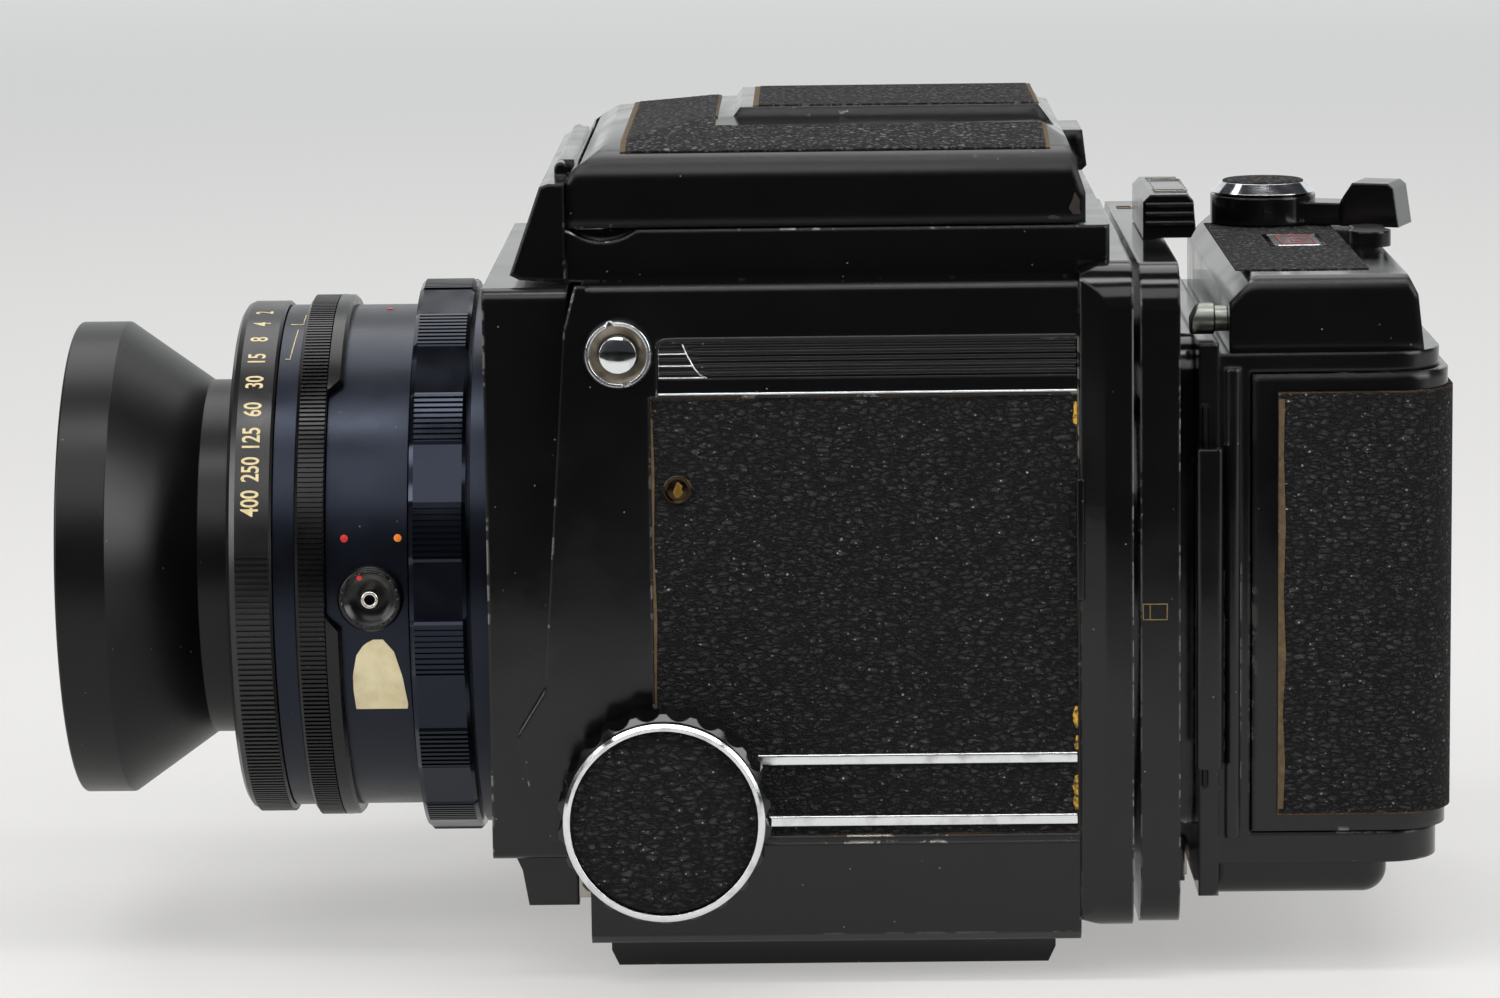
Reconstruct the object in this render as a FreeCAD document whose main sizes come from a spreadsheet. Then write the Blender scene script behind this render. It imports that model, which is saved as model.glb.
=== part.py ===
import FreeCAD, Part
import math
import os
from types import SimpleNamespace

import Sketcher
from FreeCAD import Placement, Rotation, Vector

# Medium format film camera: bellows focusing, folding finder, revolving film back.
# Row frame: +Z up, the lens looks along -X, the film magazine is at +X, -Y is the left hand side.
# The origin is the mouth of the tripod socket, on the underside of the base plate. Millimetres.

doc = FreeCAD.newDocument("film_camera")
sheet = doc.addObject("Spreadsheet::Sheet", "Sizes")

DRIVING_SIZES = {
    # General fits
    "adapter_foot_rise": 1.6,
    "play": 0.3,
    "running": 0.05,
    # Body casting and its light chamber
    "body_front": -39.4,
    "body_rear": 39.0,
    "side_half": 51.8,
    "lower_height": 16.5,
    "adapter_lip": 2.6,
    "chamber_half": 36.5,
    "chamber_inset": 10.9,
    "chamber_rear_wall": 2.5,
    "chamber_drop": 26.2,
    "gate_floor_rise": 4.5,
    "gate_floor_step": 13.5,
    "gate_roof_rise": 35.8,
    "bulkhead_thick": 3.0,
    "bulkhead_inset": 3.5,
    "bulkhead_rise": 32.8,
    "recess_room": 2.5,
    "recess_floor_wall": 3.5,
    "recess_roof_wall": 9.2,
    "edge_round": 1.2,
    # Side cheeks that overlap the front standard
    "cheek_thick": 1.6,
    "cheek_top_reach": 1.9,
    "cheek_top_slant": 0.9,
    "cheek_top_drop": 7.0,
    "cheek_waist_reach": 6.8,
    "cheek_waist_rise": 25.2,
    "cheek_nose_reach": 11.5,
    "cheek_nose_rise": 17.6,
    "cheek_chin_reach": 9.5,
    "cheek_chin_rise": 8.9,
    "cheek_foot_reach": 5.9,
    "cheek_round": 3.0,
    # Side panels
    "panel_depth": 1.1,
    "leather_setback": 10.6,
    "leather_margin": 0.4,
    "leather_foot_rise": 1.1,
    "leather_drop": 18.0,
    "leather_thick": 0.9,
    "leather_hub_clear": 3.0,
    "trim_setback": 1.3,
    "trim_gap": 0.5,
    "trim_height": 8.5,
    "trim_thick": 1.0,
    "trim_groove": 0.4,
    "trim_pitch": 1.1,
    # Lower casing, base plate and tripod bush
    "lower_bottom": 7.0,
    "tunnel_floor_thick": 5.7,
    "well_inset": 5.0,
    "well_end_wall": 5.0,
    "tunnel_rear_room": 2.0,
    "well_floor_thick": 4.0,
    "lower_chamfer": 1.5,
    "base_setback": 2.6,
    "base_rear_gap": 3.5,
    "base_inset": 14.8,
    "base_bevel": 2.5,
    "base_slant": 1.2,
    "bush_radius": 7.0,
    "bush_rise": 2.5,
    "socket_radius": 4.0,
    "bush_roof": 1.0,
    # Strap lugs
    "lug_setback": 5.8,
    "lug_drop": 10.6,
    "lug_radius": 5.4,
    "lug_ring_wall": 1.2,
    "lug_ring_depth": 1.6,
    "lug_floor": 0.5,
    "lug_neck_radius": 2.5,
    "lug_neck_clear": 0.3,
    "lug_stud_radius": 3.05,
    "lug_stud_reach": 3.4,
    # Focusing drive
    "knob_setback": 12.3,
    "rack_pitch_rise": 9.0,
    "travel": 46.0,
    "tooth_module": 1.0,
    "pinion_teeth": 16,
    "backlash": 0.1,
    "rack_clear": 1.0,
    "rack_width": 5.0,
    "rack_rear_gap": 10.0,
    "shaft_radius": 2.5,
    "knob_radius": 16.9,
    "knob_standoff": 3.2,
    "knob_width": 9.0,
    "knob_bevel": 0.8,
    "knob_face_bevel": 1.2,
    "knob_hub": 6.0,
    "scallops": 22,
    "scallop_radius": 2.4,
    "scallop_depth": 0.9,
    "ring_radius": 15.9,
    "ring_wall": 1.1,
    "ring_proud": 2.4,
    "ring_bevel": 0.5,
    "lock_thick": 2.4,
    "lock_ring": 9.0,
    "lock_reach": 24.0,
    "lock_width": 6.0,
    # Front standard and carriage
    "standard_depth": 13.5,
    "standard_gap": 2.2,
    "standard_inset": 2.0,
    "standard_foot_rise": 2.9,
    "standard_top_clear": 0.6,
    "standard_wall": 4.0,
    "standard_rim": 5.5,
    "standard_round": 2.0,
    "throat_wall": 7.0,
    "carriage_clear": 4.8,
    "carriage_setback": 4.4,
    "carriage_lip_rise": 5.8,
    # Bellows
    "bellows_half_width": 38.0,
    "bellows_clear": 1.2,
    "fold_depth": 4.0,
    "folds": 6,
    "cloth_thick": 0.8,
    # Lens
    "flange_rise": 3.1,
    "flange_thick": 3.1,
    "hub_step": 0.9,
    "breech_gap": 0.6,
    "breech_width": 9.2,
    "breech_rise": 4.5,
    "breech_bevel": 0.8,
    "breech_pads": 15,
    "breech_land_half": 5.3,
    "breech_land_drop": 0.45,
    "barrel_radius": 41.9,
    "barrel_length": 13.7,
    "aperture_width": 4.7,
    "aperture_rise": 1.8,
    "aperture_bevel": 0.5,
    "skirt_length": 2.5,
    "collar_rise": 0.1,
    "collar_width": 3.8,
    "speed_width": 7.5,
    "speed_rise": 0.8,
    "speed_round": 1.6,
    "filter_inset": 3.4,
    "filter_depth": 4.0,
    "barrel_wall": 1.6,
    "front_glass_inset": 9.5,
    "front_glass_thick": 7.0,
    "front_glass_crown": 1.8,
    "light_bore_inset": 2.0,
    "blade_setback": 10.0,
    "blade_slot": 3.0,
    "blade_inset": 1.0,
    "blade_thick": 0.6,
    "rear_glass_inset": 8.0,
    "rear_glass_thick": 5.0,
    "hood_neck_inset": 8.9,
    "hood_neck_length": 5.9,
    "hood_cone_length": 13.9,
    "hood_band_length": 8.1,
    "hood_flare": 1.0,
    "hood_wall": 1.4,
    "terminal_setback": 6.4,
    "terminal_radius": 5.3,
    "terminal_depth": 1.9,
    "terminal_wall": 1.8,
    "terminal_collar": 1.2,
    "terminal_rise": 2.7,
    "terminal_bore": 1.55,
    "terminal_bore_depth": 3.0,
    # Mirror
    "mirror_pin_gap": 3.5,
    "mirror_rise": 28.8,
    "mirror_length": 58.0,
    "mirror_inset": 3.5,
    "mirror_thick": 2.5,
    "mirror_glass_thick": 1.8,
    "mirror_pin_radius": 1.5,
    "mirror_pin_depth": 2.0,
    # Finder
    "screen_step": 2.0,
    "screen_thick": 2.5,
    "finder_overhang": 2.6,
    "finder_rear_overhang": 5.1,
    "finder_inset": 6.3,
    "finder_height": 8.1,
    "finder_front_wall": 8.0,
    "finder_rear_wall": 5.6,
    "finder_wall": 4.5,
    "thumb_radius": 9.0,
    "thumb_rise": 7.2,
    "thumb_setback": 6.0,
    "lid_rear_gap": 3.8,
    "lid_inset": 0.5,
    "lid_wall": 1.5,
    "lid_shoulder": 1.6,
    "lid_roof": 5.7,
    "lid_clear": 3.6,
    "lid_brow": 6.0,
    "lid_eave": 3.4,
    "crown_fall": 4.0,
    "lid_barrel_radius": 1.0,
    "lid_barrel_half": 30.0,
    "lid_ear_width": 4.0,
    "lid_pin_radius": 0.6,
    "ridge_setback": 24.6,
    "ridge_rear_gap": 4.9,
    "ridge_half": 20.0,
    "ridge_rise": 1.0,
    "tab_half": 9.0,
    "tab_drop": 0.2,
    "tab_rise": 5.1,
    "tab_reach": 2.0,
    "nameplate_reach": 8.8,
    "nameplate_toe": 1.6,
    "nameplate_lean": 4.9,
    "nameplate_rise": 7.5,
    "nameplate_overhang": 0.5,
    "wing_setback": 4.0,
    "wing_rear_gap": 2.5,
    "wing_hinge_out": 1.3,
    "wing_height": 26.0,
    "wing_slant": 10.0,
    "leaf_thick": 0.8,
    "leaf_rise": 1.6,
    "flap_rise": 1.3,
    "flap_pivot_gap": 0.9,
    "flap_inset": 2.0,
    "flap_height": 24.0,
    "hinge_radius": 0.7,
    "magnifier_pivot_gap": 4.0,
    "magnifier_rise": 3.8,
    "magnifier_thick": 2.4,
    "magnifier_reach": 21.0,
    "magnifier_radius": 14.5,
    "magnifier_glass": 12.5,
    "magnifier_arm_inset": 4.0,
    # Revolving adapter
    "adapter_depth": 8.3,
    "adapter_overhang": 1.8,
    "adapter_round": 7.0,
    "adapter_bevel_depth": 4.0,
    "adapter_bevel_inset": 1.7,
    "hub_shoulder": 4.5,
    "hub_inset": 2.1,
    "hub_seat_wall": 5.0,
    "plate_clear": 1.1,
    "plate_depth": 6.3,
    "plate_inset": 0.4,
    "gate_half_width": 36.0,
    "gate_half_height": 30.0,
    "upper_lock_half": 15.0,
    "upper_lock_setback": 2.8,
    "upper_lock_depth": 8.6,
    "upper_lock_rise": 7.4,
    "lock_rib_pitch": 2.4,
    "lock_rib_depth": 0.6,
    "lower_lock_half": 12.0,
    "foot_overhang": 12.0,
    "lower_lock_inset": 0.9,
    "lower_lock_height": 6.9,
    "lower_lock_reach": 2.7,
    "lock_travel": 8.0,
    # Film magazine
    "seat_inset": 9.8,
    "seat_depth": 2.8,
    "magazine_inset": 3.2,
    "magazine_wall_depth": 3.2,
    "frame_depth": 5.0,
    "column_setback": 2.2,
    "column_inset": 0.8,
    "column_radius": 1.4,
    "film_half_width": 35.0,
    "film_half_height": 28.0,
    "slide_setback": 0.7,
    "slide_thick": 0.6,
    "slide_half": 30.5,
    "slide_tip": 37.0,
    "slide_travel": 88.0,
    "handle_overhang": 0.5,
    "handle_depth": 4.1,
    "handle_drop": 27.2,
    "handle_rise": 24.2,
    "handle_reach": 3.0,
    "floor_thick": 5.0,
    "roof_thick": 3.0,
    "end_depth": 30.6,
    "door_foot": 15.2,
    "door_head": 17.6,
    "door_rear_clear": 1.4,
    "door_wall": 1.6,
    "door_round": 9.0,
    "door_pin_setback": 4.4,
    "door_pin_inset": 3.8,
    "door_knuckle": 3.6,
    "door_pin_radius": 1.2,
    "door_bridge_width": 6.0,
    "cover_setback": 4.3,
    "cover_margin": 2.8,
    "cover_far_gap": 8.2,
    "cover_thick": 0.8,
    "memo_reach": 2.0,
    "memo_half": 22.0,
    "memo_low_drop": 19.3,
    "memo_low_height": 8.6,
    "memo_high_rise": 9.7,
    "memo_high_height": 7.2,
    "top_setback": 1.8,
    "top_depth": 29.7,
    "top_inset": 2.0,
    "top_rise": 11.9,
    "top_slope": 4.0,
    "top_round": 2.5,
    "bottom_depth": 27.7,
    "bottom_inset": 5.0,
    "bottom_drop": 11.9,
    "wall_foot_rise": 1.4,
    "bottom_round": 4.0,
    "latch_inset": 8.0,
    "latch_rise": 8.0,
    "latch_radius": 2.5,
    "latch_under": 3.0,
    "latch_overhang": 1.2,
    "plate_gap": 0.3,
    "plate_thick": 1.2,
    # Film spools
    "wind_setback": 13.5,
    "wind_inset": 20.0,
    "supply_setback": 17.0,
    "supply_inset": 18.0,
    "spool_flange": 12.4,
    "spool_core": 5.6,
    "spool_gap": 2.6,
    "spool_flange_thick": 1.4,
    "spindle_radius": 3.0,
    # Wind lever, counter and exposure lever
    "lever_hub": 9.0,
    "lever_clear": 0.4,
    "lever_hub_height": 4.8,
    "lever_reach": 24.0,
    "lever_tip_back": 14.5,
    "lever_turn": -20.0,
    "lever_arm_half": 3.6,
    "lever_arm_height": 3.8,
    "lever_tip_height": 7.4,
    "lever_tip_half": 4.6,
    "cap_radius": 8.8,
    "cap_height": 2.2,
    "window_setback": 2.5,
    "window_side": 2.0,
    "window_half_along": 4.0,
    "window_half_side": 8.0,
    "dial_radius": 10.0,
    "dial_thick": 1.2,
    "dial_depth": 2.6,
    "exposure_setback": 3.5,
    "exposure_side": -8.0,
    "exposure_radius": 3.4,
    "exposure_reach": 9.0,
    "exposure_thick": 2.6,
    # Release button and cocking lever
    "release_inset": 3.8,
    "release_rise": 8.4,
    "release_radius": 2.6,
    "release_proud": 3.4,
    "release_depth": 4.0,
    "collar_outer": 3.5,
    "collar_thick": 3.0,
    "cocking_setback": 23.4,
    "cocking_rise": 3.8,
    "cocking_boss": 7.0,
    "cocking_reach": 44.0,
    "cocking_half": 3.2,
    "cocking_thick": 2.6,
    "cocking_pad": 6.5,
    "cocking_pad_rise": 5.0,
}


class Size:
    """A size of the model: its value, and the expression on the sheet that gives it."""

    def __init__(self, value, text):
        self.value = value
        self.text = text

    def __add__(self, other):
        other = as_size(other)
        return Size(self.value + other.value, f"({self.text} + {other.text})")

    def __sub__(self, other):
        other = as_size(other)
        return Size(self.value - other.value, f"({self.text} - {other.text})")

    def __mul__(self, other):
        other = as_size(other)
        return Size(self.value * other.value, f"({self.text} * {other.text})")

    def __truediv__(self, other):
        other = as_size(other)
        return Size(self.value / other.value, f"({self.text} / {other.text})")

    def __neg__(self):
        return Size(-self.value, f"(0 - {self.text})")

    def __radd__(self, other):
        return as_size(other) + self

    def __rsub__(self, other):
        return as_size(other) - self

    def __rmul__(self, other):
        return as_size(other) * self

    def __float__(self):
        return float(self.value)


def as_size(number):
    if isinstance(number, Size):
        return number
    return Size(float(number), f"({number})")


def fill_sheet(sizes):
    """Write each driving size to the sheet and give it back as a named size."""
    named = SimpleNamespace()
    for row, (alias, value) in enumerate(sizes.items(), start=1):
        sheet.set(f"A{row}", alias)
        sheet.set(f"B{row}", str(value))
        sheet.setAlias(f"B{row}", alias)
        setattr(named, alias, Size(float(value), f"Sizes.{alias}"))
    doc.recompute()
    return named


S = fill_sheet(DRIVING_SIZES)


def set_places():
    """Places and half widths that follow from the driving sizes, each from the piece that it stands on."""
    S.split_height = S.lower_bottom + S.lower_height
    S.chamber_front = S.body_front + S.chamber_inset
    S.chamber_rear = S.body_rear - S.chamber_rear_wall
    S.gate_floor = S.split_height + S.gate_floor_rise
    S.gate_floor_front = S.chamber_front + S.gate_floor_step
    S.bulkhead_half = S.chamber_half - S.bulkhead_inset
    S.recess_half = S.bellows_half_width + S.recess_room
    S.recess_floor = S.split_height + S.recess_floor_wall
    S.cheek_waist_height = S.split_height + S.cheek_waist_rise
    S.cheek_nose_height = S.split_height + S.cheek_nose_rise
    S.cheek_chin_height = S.split_height + S.cheek_chin_rise
    S.leather_front = S.body_front + S.leather_setback
    S.leather_bottom = S.split_height + S.leather_foot_rise
    S.trim_front = S.leather_front + S.trim_setback
    S.tunnel_floor = S.lower_bottom + S.tunnel_floor_thick
    S.well_floor = S.lower_bottom + S.well_floor_thick
    S.base_front = S.body_front + S.base_setback
    S.base_rear = S.body_rear - S.base_rear_gap
    S.base_half = S.side_half - S.base_inset
    S.bush_height = S.lower_bottom + S.bush_rise
    S.socket_depth = S.bush_height - S.bush_roof
    S.lug_along = S.body_front + S.lug_setback
    S.knob_along = S.body_front + S.knob_setback
    S.rack_inner = S.bellows_half_width + S.rack_clear
    S.well_half = S.rack_inner - S.well_inset
    S.rack_bottom = S.tunnel_floor + S.play
    S.knob_height = S.rack_bottom + S.rack_pitch_rise + S.tooth_module * S.pinion_teeth / 2
    S.rack_rear = S.body_rear - S.rack_rear_gap
    S.standard_rear = S.body_front - S.standard_gap
    S.standard_front = S.standard_rear - S.standard_depth
    S.standard_half = S.side_half - S.standard_inset
    S.carriage_half = S.rack_inner + S.rack_width
    S.carriage_bottom = S.lower_bottom + S.carriage_clear
    S.carriage_front = S.standard_front + S.carriage_setback
    S.carriage_lip = S.carriage_bottom + S.carriage_lip_rise
    S.standard_bottom = S.carriage_lip + S.standard_foot_rise
    S.breech_rear = S.standard_front - S.flange_thick - S.breech_gap
    S.breech_front = S.breech_rear - S.breech_width
    S.aperture_rear = S.breech_front - S.barrel_length
    S.aperture_front = S.aperture_rear - S.aperture_width
    S.speed_rear = S.aperture_front - S.collar_width
    S.speed_front = S.speed_rear - S.speed_width
    S.blade_front = S.breech_front - S.blade_setback
    S.hood_neck_front = S.speed_front - S.hood_neck_length
    S.hood_crease = S.hood_neck_front - S.hood_cone_length
    S.hood_rim = S.hood_crease - S.hood_band_length
    S.terminal_along = S.breech_front - S.terminal_setback
    S.mirror_along = S.chamber_rear - S.mirror_pin_gap
    S.mirror_half = S.chamber_half - S.mirror_inset
    S.finder_front = S.body_front - S.finder_overhang
    S.finder_rear = S.body_rear + S.finder_rear_overhang
    S.finder_half = S.side_half - S.finder_inset
    S.finder_well_front = S.finder_front + S.finder_front_wall
    S.finder_well_rear = S.finder_rear - S.finder_rear_wall
    S.finder_well_half = S.finder_half - S.finder_wall
    S.lid_rear = S.finder_rear - S.lid_rear_gap
    S.lid_half = S.finder_half - S.lid_inset
    S.ridge_front = S.finder_front + S.ridge_setback
    S.ridge_rear = S.lid_rear - S.ridge_rear_gap
    S.nameplate_front = S.finder_front - S.nameplate_reach
    S.nameplate_half = S.finder_half + S.nameplate_overhang
    S.wing_front = S.finder_well_front + S.wing_setback
    S.wing_rear = S.finder_well_rear - S.wing_rear_gap
    S.wing_half = S.finder_well_half + S.wing_hinge_out
    S.flap_pivot = S.finder_well_rear - S.flap_pivot_gap
    S.flap_half = S.finder_well_half - S.flap_inset
    S.magnifier_pivot = S.flap_pivot - S.magnifier_pivot_gap
    S.adapter_rear = S.body_rear + S.adapter_depth
    S.adapter_half = S.side_half + S.adapter_overhang
    S.axis_height = S.lower_bottom + S.adapter_foot_rise + S.adapter_half
    S.body_top = S.axis_height + S.adapter_half - S.adapter_lip
    S.chamber_floor = S.axis_height - S.chamber_drop
    S.gate_roof = S.axis_height + S.gate_roof_rise
    S.bulkhead_roof = S.axis_height + S.bulkhead_rise
    S.recess_roof = S.body_top - S.recess_roof_wall
    S.leather_top = S.body_top - S.leather_drop
    S.trim_bottom = S.leather_top + S.trim_gap
    S.trim_top = S.trim_bottom + S.trim_height
    S.lug_height = S.body_top - S.lug_drop
    S.standard_top = S.body_top - S.standard_top_clear
    S.mirror_height = S.axis_height + S.mirror_rise
    S.finder_step = S.body_top + S.finder_height
    S.tab_bottom = S.finder_step + S.tab_rise
    S.nameplate_top = S.finder_step + S.nameplate_rise
    S.flap_level = S.finder_step + S.flap_rise
    S.leaf_level = S.flap_level + S.leaf_rise
    S.magnifier_level = S.leaf_level + S.magnifier_rise
    S.lid_under = S.magnifier_level + S.lid_clear
    S.lid_side_top = S.lid_under + S.lid_shoulder
    S.lid_crown = S.lid_under + S.lid_roof
    S.ridge_top = S.lid_crown + S.ridge_rise
    S.tab_top = S.lid_side_top - S.tab_drop
    S.hub_outer = S.adapter_half - S.hub_inset
    S.adapter_bore = S.hub_outer - S.hub_shoulder
    S.hub_front = S.body_rear + S.hub_seat_wall
    S.plate_front = S.adapter_rear + S.plate_clear
    S.plate_rear = S.plate_front + S.plate_depth
    S.plate_half = S.adapter_half - S.plate_inset
    S.upper_lock_front = S.plate_front + S.upper_lock_setback
    S.upper_lock_rear = S.upper_lock_front + S.upper_lock_depth
    S.upper_lock_top = S.axis_height + S.plate_half + S.upper_lock_rise
    S.lower_lock_bottom = S.axis_height - S.plate_half + S.lower_lock_inset
    S.lower_lock_top = S.lower_lock_bottom + S.lower_lock_height
    S.lower_lock_rear = S.plate_rear + S.lower_lock_reach
    S.seat_front = S.plate_rear + S.play
    S.magazine_front = S.seat_front + S.seat_depth
    S.magazine_half = S.plate_half - S.magazine_inset
    S.seat_half = S.magazine_half - S.seat_inset
    S.gate_rear = S.magazine_front + S.magazine_wall_depth
    S.frame_rear = S.gate_rear + S.frame_depth
    S.slide_front = S.magazine_front + S.slide_setback
    S.handle_front = S.magazine_front - S.handle_overhang
    S.handle_rear = S.handle_front + S.handle_depth
    S.handle_bottom = S.axis_height - S.handle_drop
    S.handle_top = S.axis_height + S.handle_rise
    S.end_rear = S.frame_rear + S.end_depth
    S.door_bottom = S.axis_height - S.plate_half + S.door_foot
    S.door_top = S.axis_height + S.plate_half - S.door_head
    S.door_rear = S.end_rear + S.door_rear_clear
    S.door_pin_along = S.door_rear - S.door_pin_setback
    S.door_pin_side = S.magazine_half - S.door_pin_inset
    S.cover_front = S.frame_rear + S.cover_setback
    S.cover_bottom = S.door_bottom + S.cover_margin
    S.cover_top = S.door_top - S.cover_margin
    S.cover_far = S.door_pin_side - S.cover_far_gap
    S.top_front = S.gate_rear + S.top_setback
    S.top_rear = S.top_front + S.top_depth
    S.top_half = S.magazine_half - S.top_inset
    S.top_height = S.door_top + S.play + S.roof_thick + S.top_rise
    S.bottom_front = S.gate_rear
    S.bottom_rear = S.bottom_front + S.bottom_depth
    S.bottom_half = S.magazine_half - S.bottom_inset
    S.bottom_height = S.door_bottom - S.bottom_drop
    S.latch_side = S.magazine_half - S.latch_inset
    S.latch_height = S.door_top + S.latch_rise
    S.latch_front = S.magazine_front - S.latch_overhang
    S.wind_along = S.gate_rear + S.wind_setback
    S.wind_side = S.magazine_half - S.wind_inset
    S.supply_along = S.gate_rear + S.supply_setback
    S.supply_side = S.supply_inset - S.magazine_half
    S.spool_half = S.door_top - S.axis_height - S.spool_gap
    S.lever_bottom = S.top_height + S.lever_clear
    S.lever_hub_top = S.lever_bottom + S.lever_hub_height
    S.lever_arm_top = S.lever_bottom + S.lever_arm_height
    S.lever_tip_top = S.lever_bottom + S.lever_tip_height
    S.window_along = S.wind_along + S.window_setback
    S.exposure_along = S.top_rear - S.exposure_setback
    S.release_side = S.side_half - S.release_inset
    S.release_height = S.lower_bottom + S.release_rise
    S.cocking_along = S.body_front + S.cocking_setback
    S.cocking_height = S.axis_height + S.cocking_rise
    S.bellows_half_height = S.axis_height - S.recess_floor - S.bellows_clear
    S.hub_radius = S.barrel_radius - S.hub_step
    S.collar_radius = S.barrel_radius + S.collar_rise
    S.aperture_radius = S.barrel_radius + S.aperture_rise
    S.speed_radius = S.barrel_radius + S.speed_rise
    S.breech_radius = S.barrel_radius + S.breech_rise
    S.filter_radius = S.barrel_radius - S.filter_inset
    S.flange_radius = S.barrel_radius + S.flange_rise
    S.throat_radius = S.hub_radius - S.throat_wall
    S.blade_radius = S.throat_radius - S.blade_inset
    S.front_glass_radius = S.filter_radius - S.front_glass_inset
    S.rear_glass_radius = S.throat_radius - S.rear_glass_inset
    S.light_bore = S.rear_glass_radius - S.light_bore_inset
    S.hood_neck_radius = S.filter_radius - S.hood_neck_inset
    S.hood_radius = S.filter_radius + S.hood_flare
    S.terminal_seat = S.barrel_radius - S.terminal_depth
    S.terminal_reach = S.barrel_radius + S.terminal_rise


set_places()

UPRIGHT = {
    "x": Rotation(Vector(0, 1, 0), 90),
    "y": Rotation(Vector(1, 0, 0), -90),
    "z": Rotation(),
}
SPIN_TURN = {
    "x": Rotation(),
    "y": Rotation(Vector(0, 0, 1), 90),
    "z": Rotation(Vector(0, 1, 0), -90),
}


def bind(thing, prop, size):
    thing.setExpression(prop, as_size(size).text)


def place(thing, along):
    """Bind where a piece stands: along maps an axis letter to a size."""
    for axis, size in along.items():
        bind(thing, f"Placement.Base.{axis}", size)


def box(name, x, y, z):
    """A box between two values along each axis."""
    block = doc.addObject("Part::Box", name)
    for prop, axis, (low, high) in (("Length", "x", x), ("Width", "y", y), ("Height", "z", z)):
        bind(block, prop, as_size(high) - low)
        bind(block, f"Placement.Base.{axis}", low)
    return block


def cylinder(name, axis, centre, radius, low, high):
    """A cylinder along an axis, from low to high, with its centre at the other two axes' values."""
    rod = doc.addObject("Part::Cylinder", name)
    rod.Placement = Placement(Vector(), UPRIGHT[axis])
    bind(rod, "Radius", radius)
    bind(rod, "Height", as_size(high) - low)
    place(rod, dict(centre, **{axis: as_size(low)}))
    return rod


def fuse(name, *parts):
    whole = doc.addObject("Part::MultiFuse", name)
    whole.Shapes = list(parts)
    return whole


def cut(name, base, *tools):
    whole = doc.addObject("Part::Cut", name)
    whole.Base = base
    whole.Tool = tools[0] if len(tools) == 1 else fuse(name + "_cutters", *tools)
    return whole


def common(name, one, other):
    whole = doc.addObject("Part::Common", name)
    whole.Base = one
    whole.Tool = other
    return whole


def group(name, *parts):
    """Like pieces, each a solid of its own, under one name."""
    whole = doc.addObject("Part::Compound", name)
    whole.Links = list(parts)
    return whole


def mirrored(name, source):
    """The same piece on the other side of the camera."""
    twin = doc.addObject("Part::Mirroring", name)
    twin.Source = source
    twin.Normal = Vector(0, 1, 0)
    return twin


def plane_of(body, role):
    return next(plane for plane in body.Origin.OriginFeatures if plane.Role == role)


def polygon(sketch, points):
    """A closed outline whose corners are each held by the sheet."""
    corners = [(as_size(first), as_size(second)) for first, second in points]
    count = len(corners)
    spots = [Vector(first.value, second.value, 0) for first, second in corners]
    sketch.addGeometry([Part.LineSegment(spots[i], spots[(i + 1) % count]) for i in range(count)], False)
    joins = [Sketcher.Constraint("Coincident", i, 2, (i + 1) % count, 1) for i in range(count)]
    sketch.addConstraint(joins)
    for i, (first, second) in enumerate(corners):
        for kind, size in (("DistanceX", first), ("DistanceY", second)):
            held = sketch.addConstraint(Sketcher.Constraint(kind, -1, 1, i, 1, size.value))
            sketch.setExpression(f"Constraints[{held}]", size.text)


def sketch_on(body, name, role, points):
    sketch = body.newObject("Sketcher::SketchObject", name)
    sketch.AttachmentSupport = (plane_of(body, role), [""])
    sketch.MapMode = "FlatFace"
    polygon(sketch, points)
    return sketch


def turned(name, axis, centre, points):
    """A turned piece: a half section of (place along the axis, radius) points, spun all the way round."""
    body = doc.addObject("PartDesign::Body", name)
    sketch = sketch_on(body, name + "_section", "XZ_Plane", points)
    spin = body.newObject("PartDesign::Revolution", name + "_turning")
    spin.Profile = sketch
    spin.ReferenceAxis = (sketch, ["H_Axis"])
    spin.Angle = 360
    body.Tip = spin
    body.Placement = Placement(Vector(), SPIN_TURN[axis])
    place(body, centre)
    return body


def profiled(name, plane, points, low, high):
    """A piece of one outline, drawn in the plane xy, xz or yz and as thick as low to high across it."""
    body = doc.addObject("PartDesign::Body", name)
    sketch = sketch_on(body, name + "_outline", plane.upper() + "_Plane", points)
    start = -as_size(high) if plane == "xz" else as_size(low)
    bind(sketch, "AttachmentOffset.Base.z", start)
    pad = body.newObject("PartDesign::Pad", name + "_pad")
    pad.Profile = sketch
    bind(pad, "Length", as_size(high) - low)
    body.Tip = pad
    return body


def rounded(name, base, radius, chosen):
    """Round the edges of a piece that a test picks."""
    doc.recompute()
    soft = doc.addObject("Part::Fillet", name)
    soft.Base = base
    size = float(radius)
    soft.Edges = [(i, size, size) for i, edge in enumerate(base.Shape.Edges, start=1) if chosen(edge)]
    return soft


def runs_along(axis, **places):
    """A test for straight edges along an axis that lie at the other places given."""
    def test(edge):
        box_of = edge.BoundBox
        spans = {"x": box_of.XLength, "y": box_of.YLength, "z": box_of.ZLength}
        middle = {"x": edge.CenterOfMass.x, "y": edge.CenterOfMass.y, "z": edge.CenterOfMass.z}
        if not isinstance(edge.Curve, Part.Line) or spans[axis] < 1:
            return False
        if any(spans[other] > 0.001 for other in "xyz" if other != axis):
            return False
        for other, wanted in places.items():
            options = wanted if isinstance(wanted, tuple) else (wanted,)
            if not any(abs(middle[other] - float(option)) < 0.01 for option in options):
                return False
        return True
    return test


nodes = []


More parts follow.
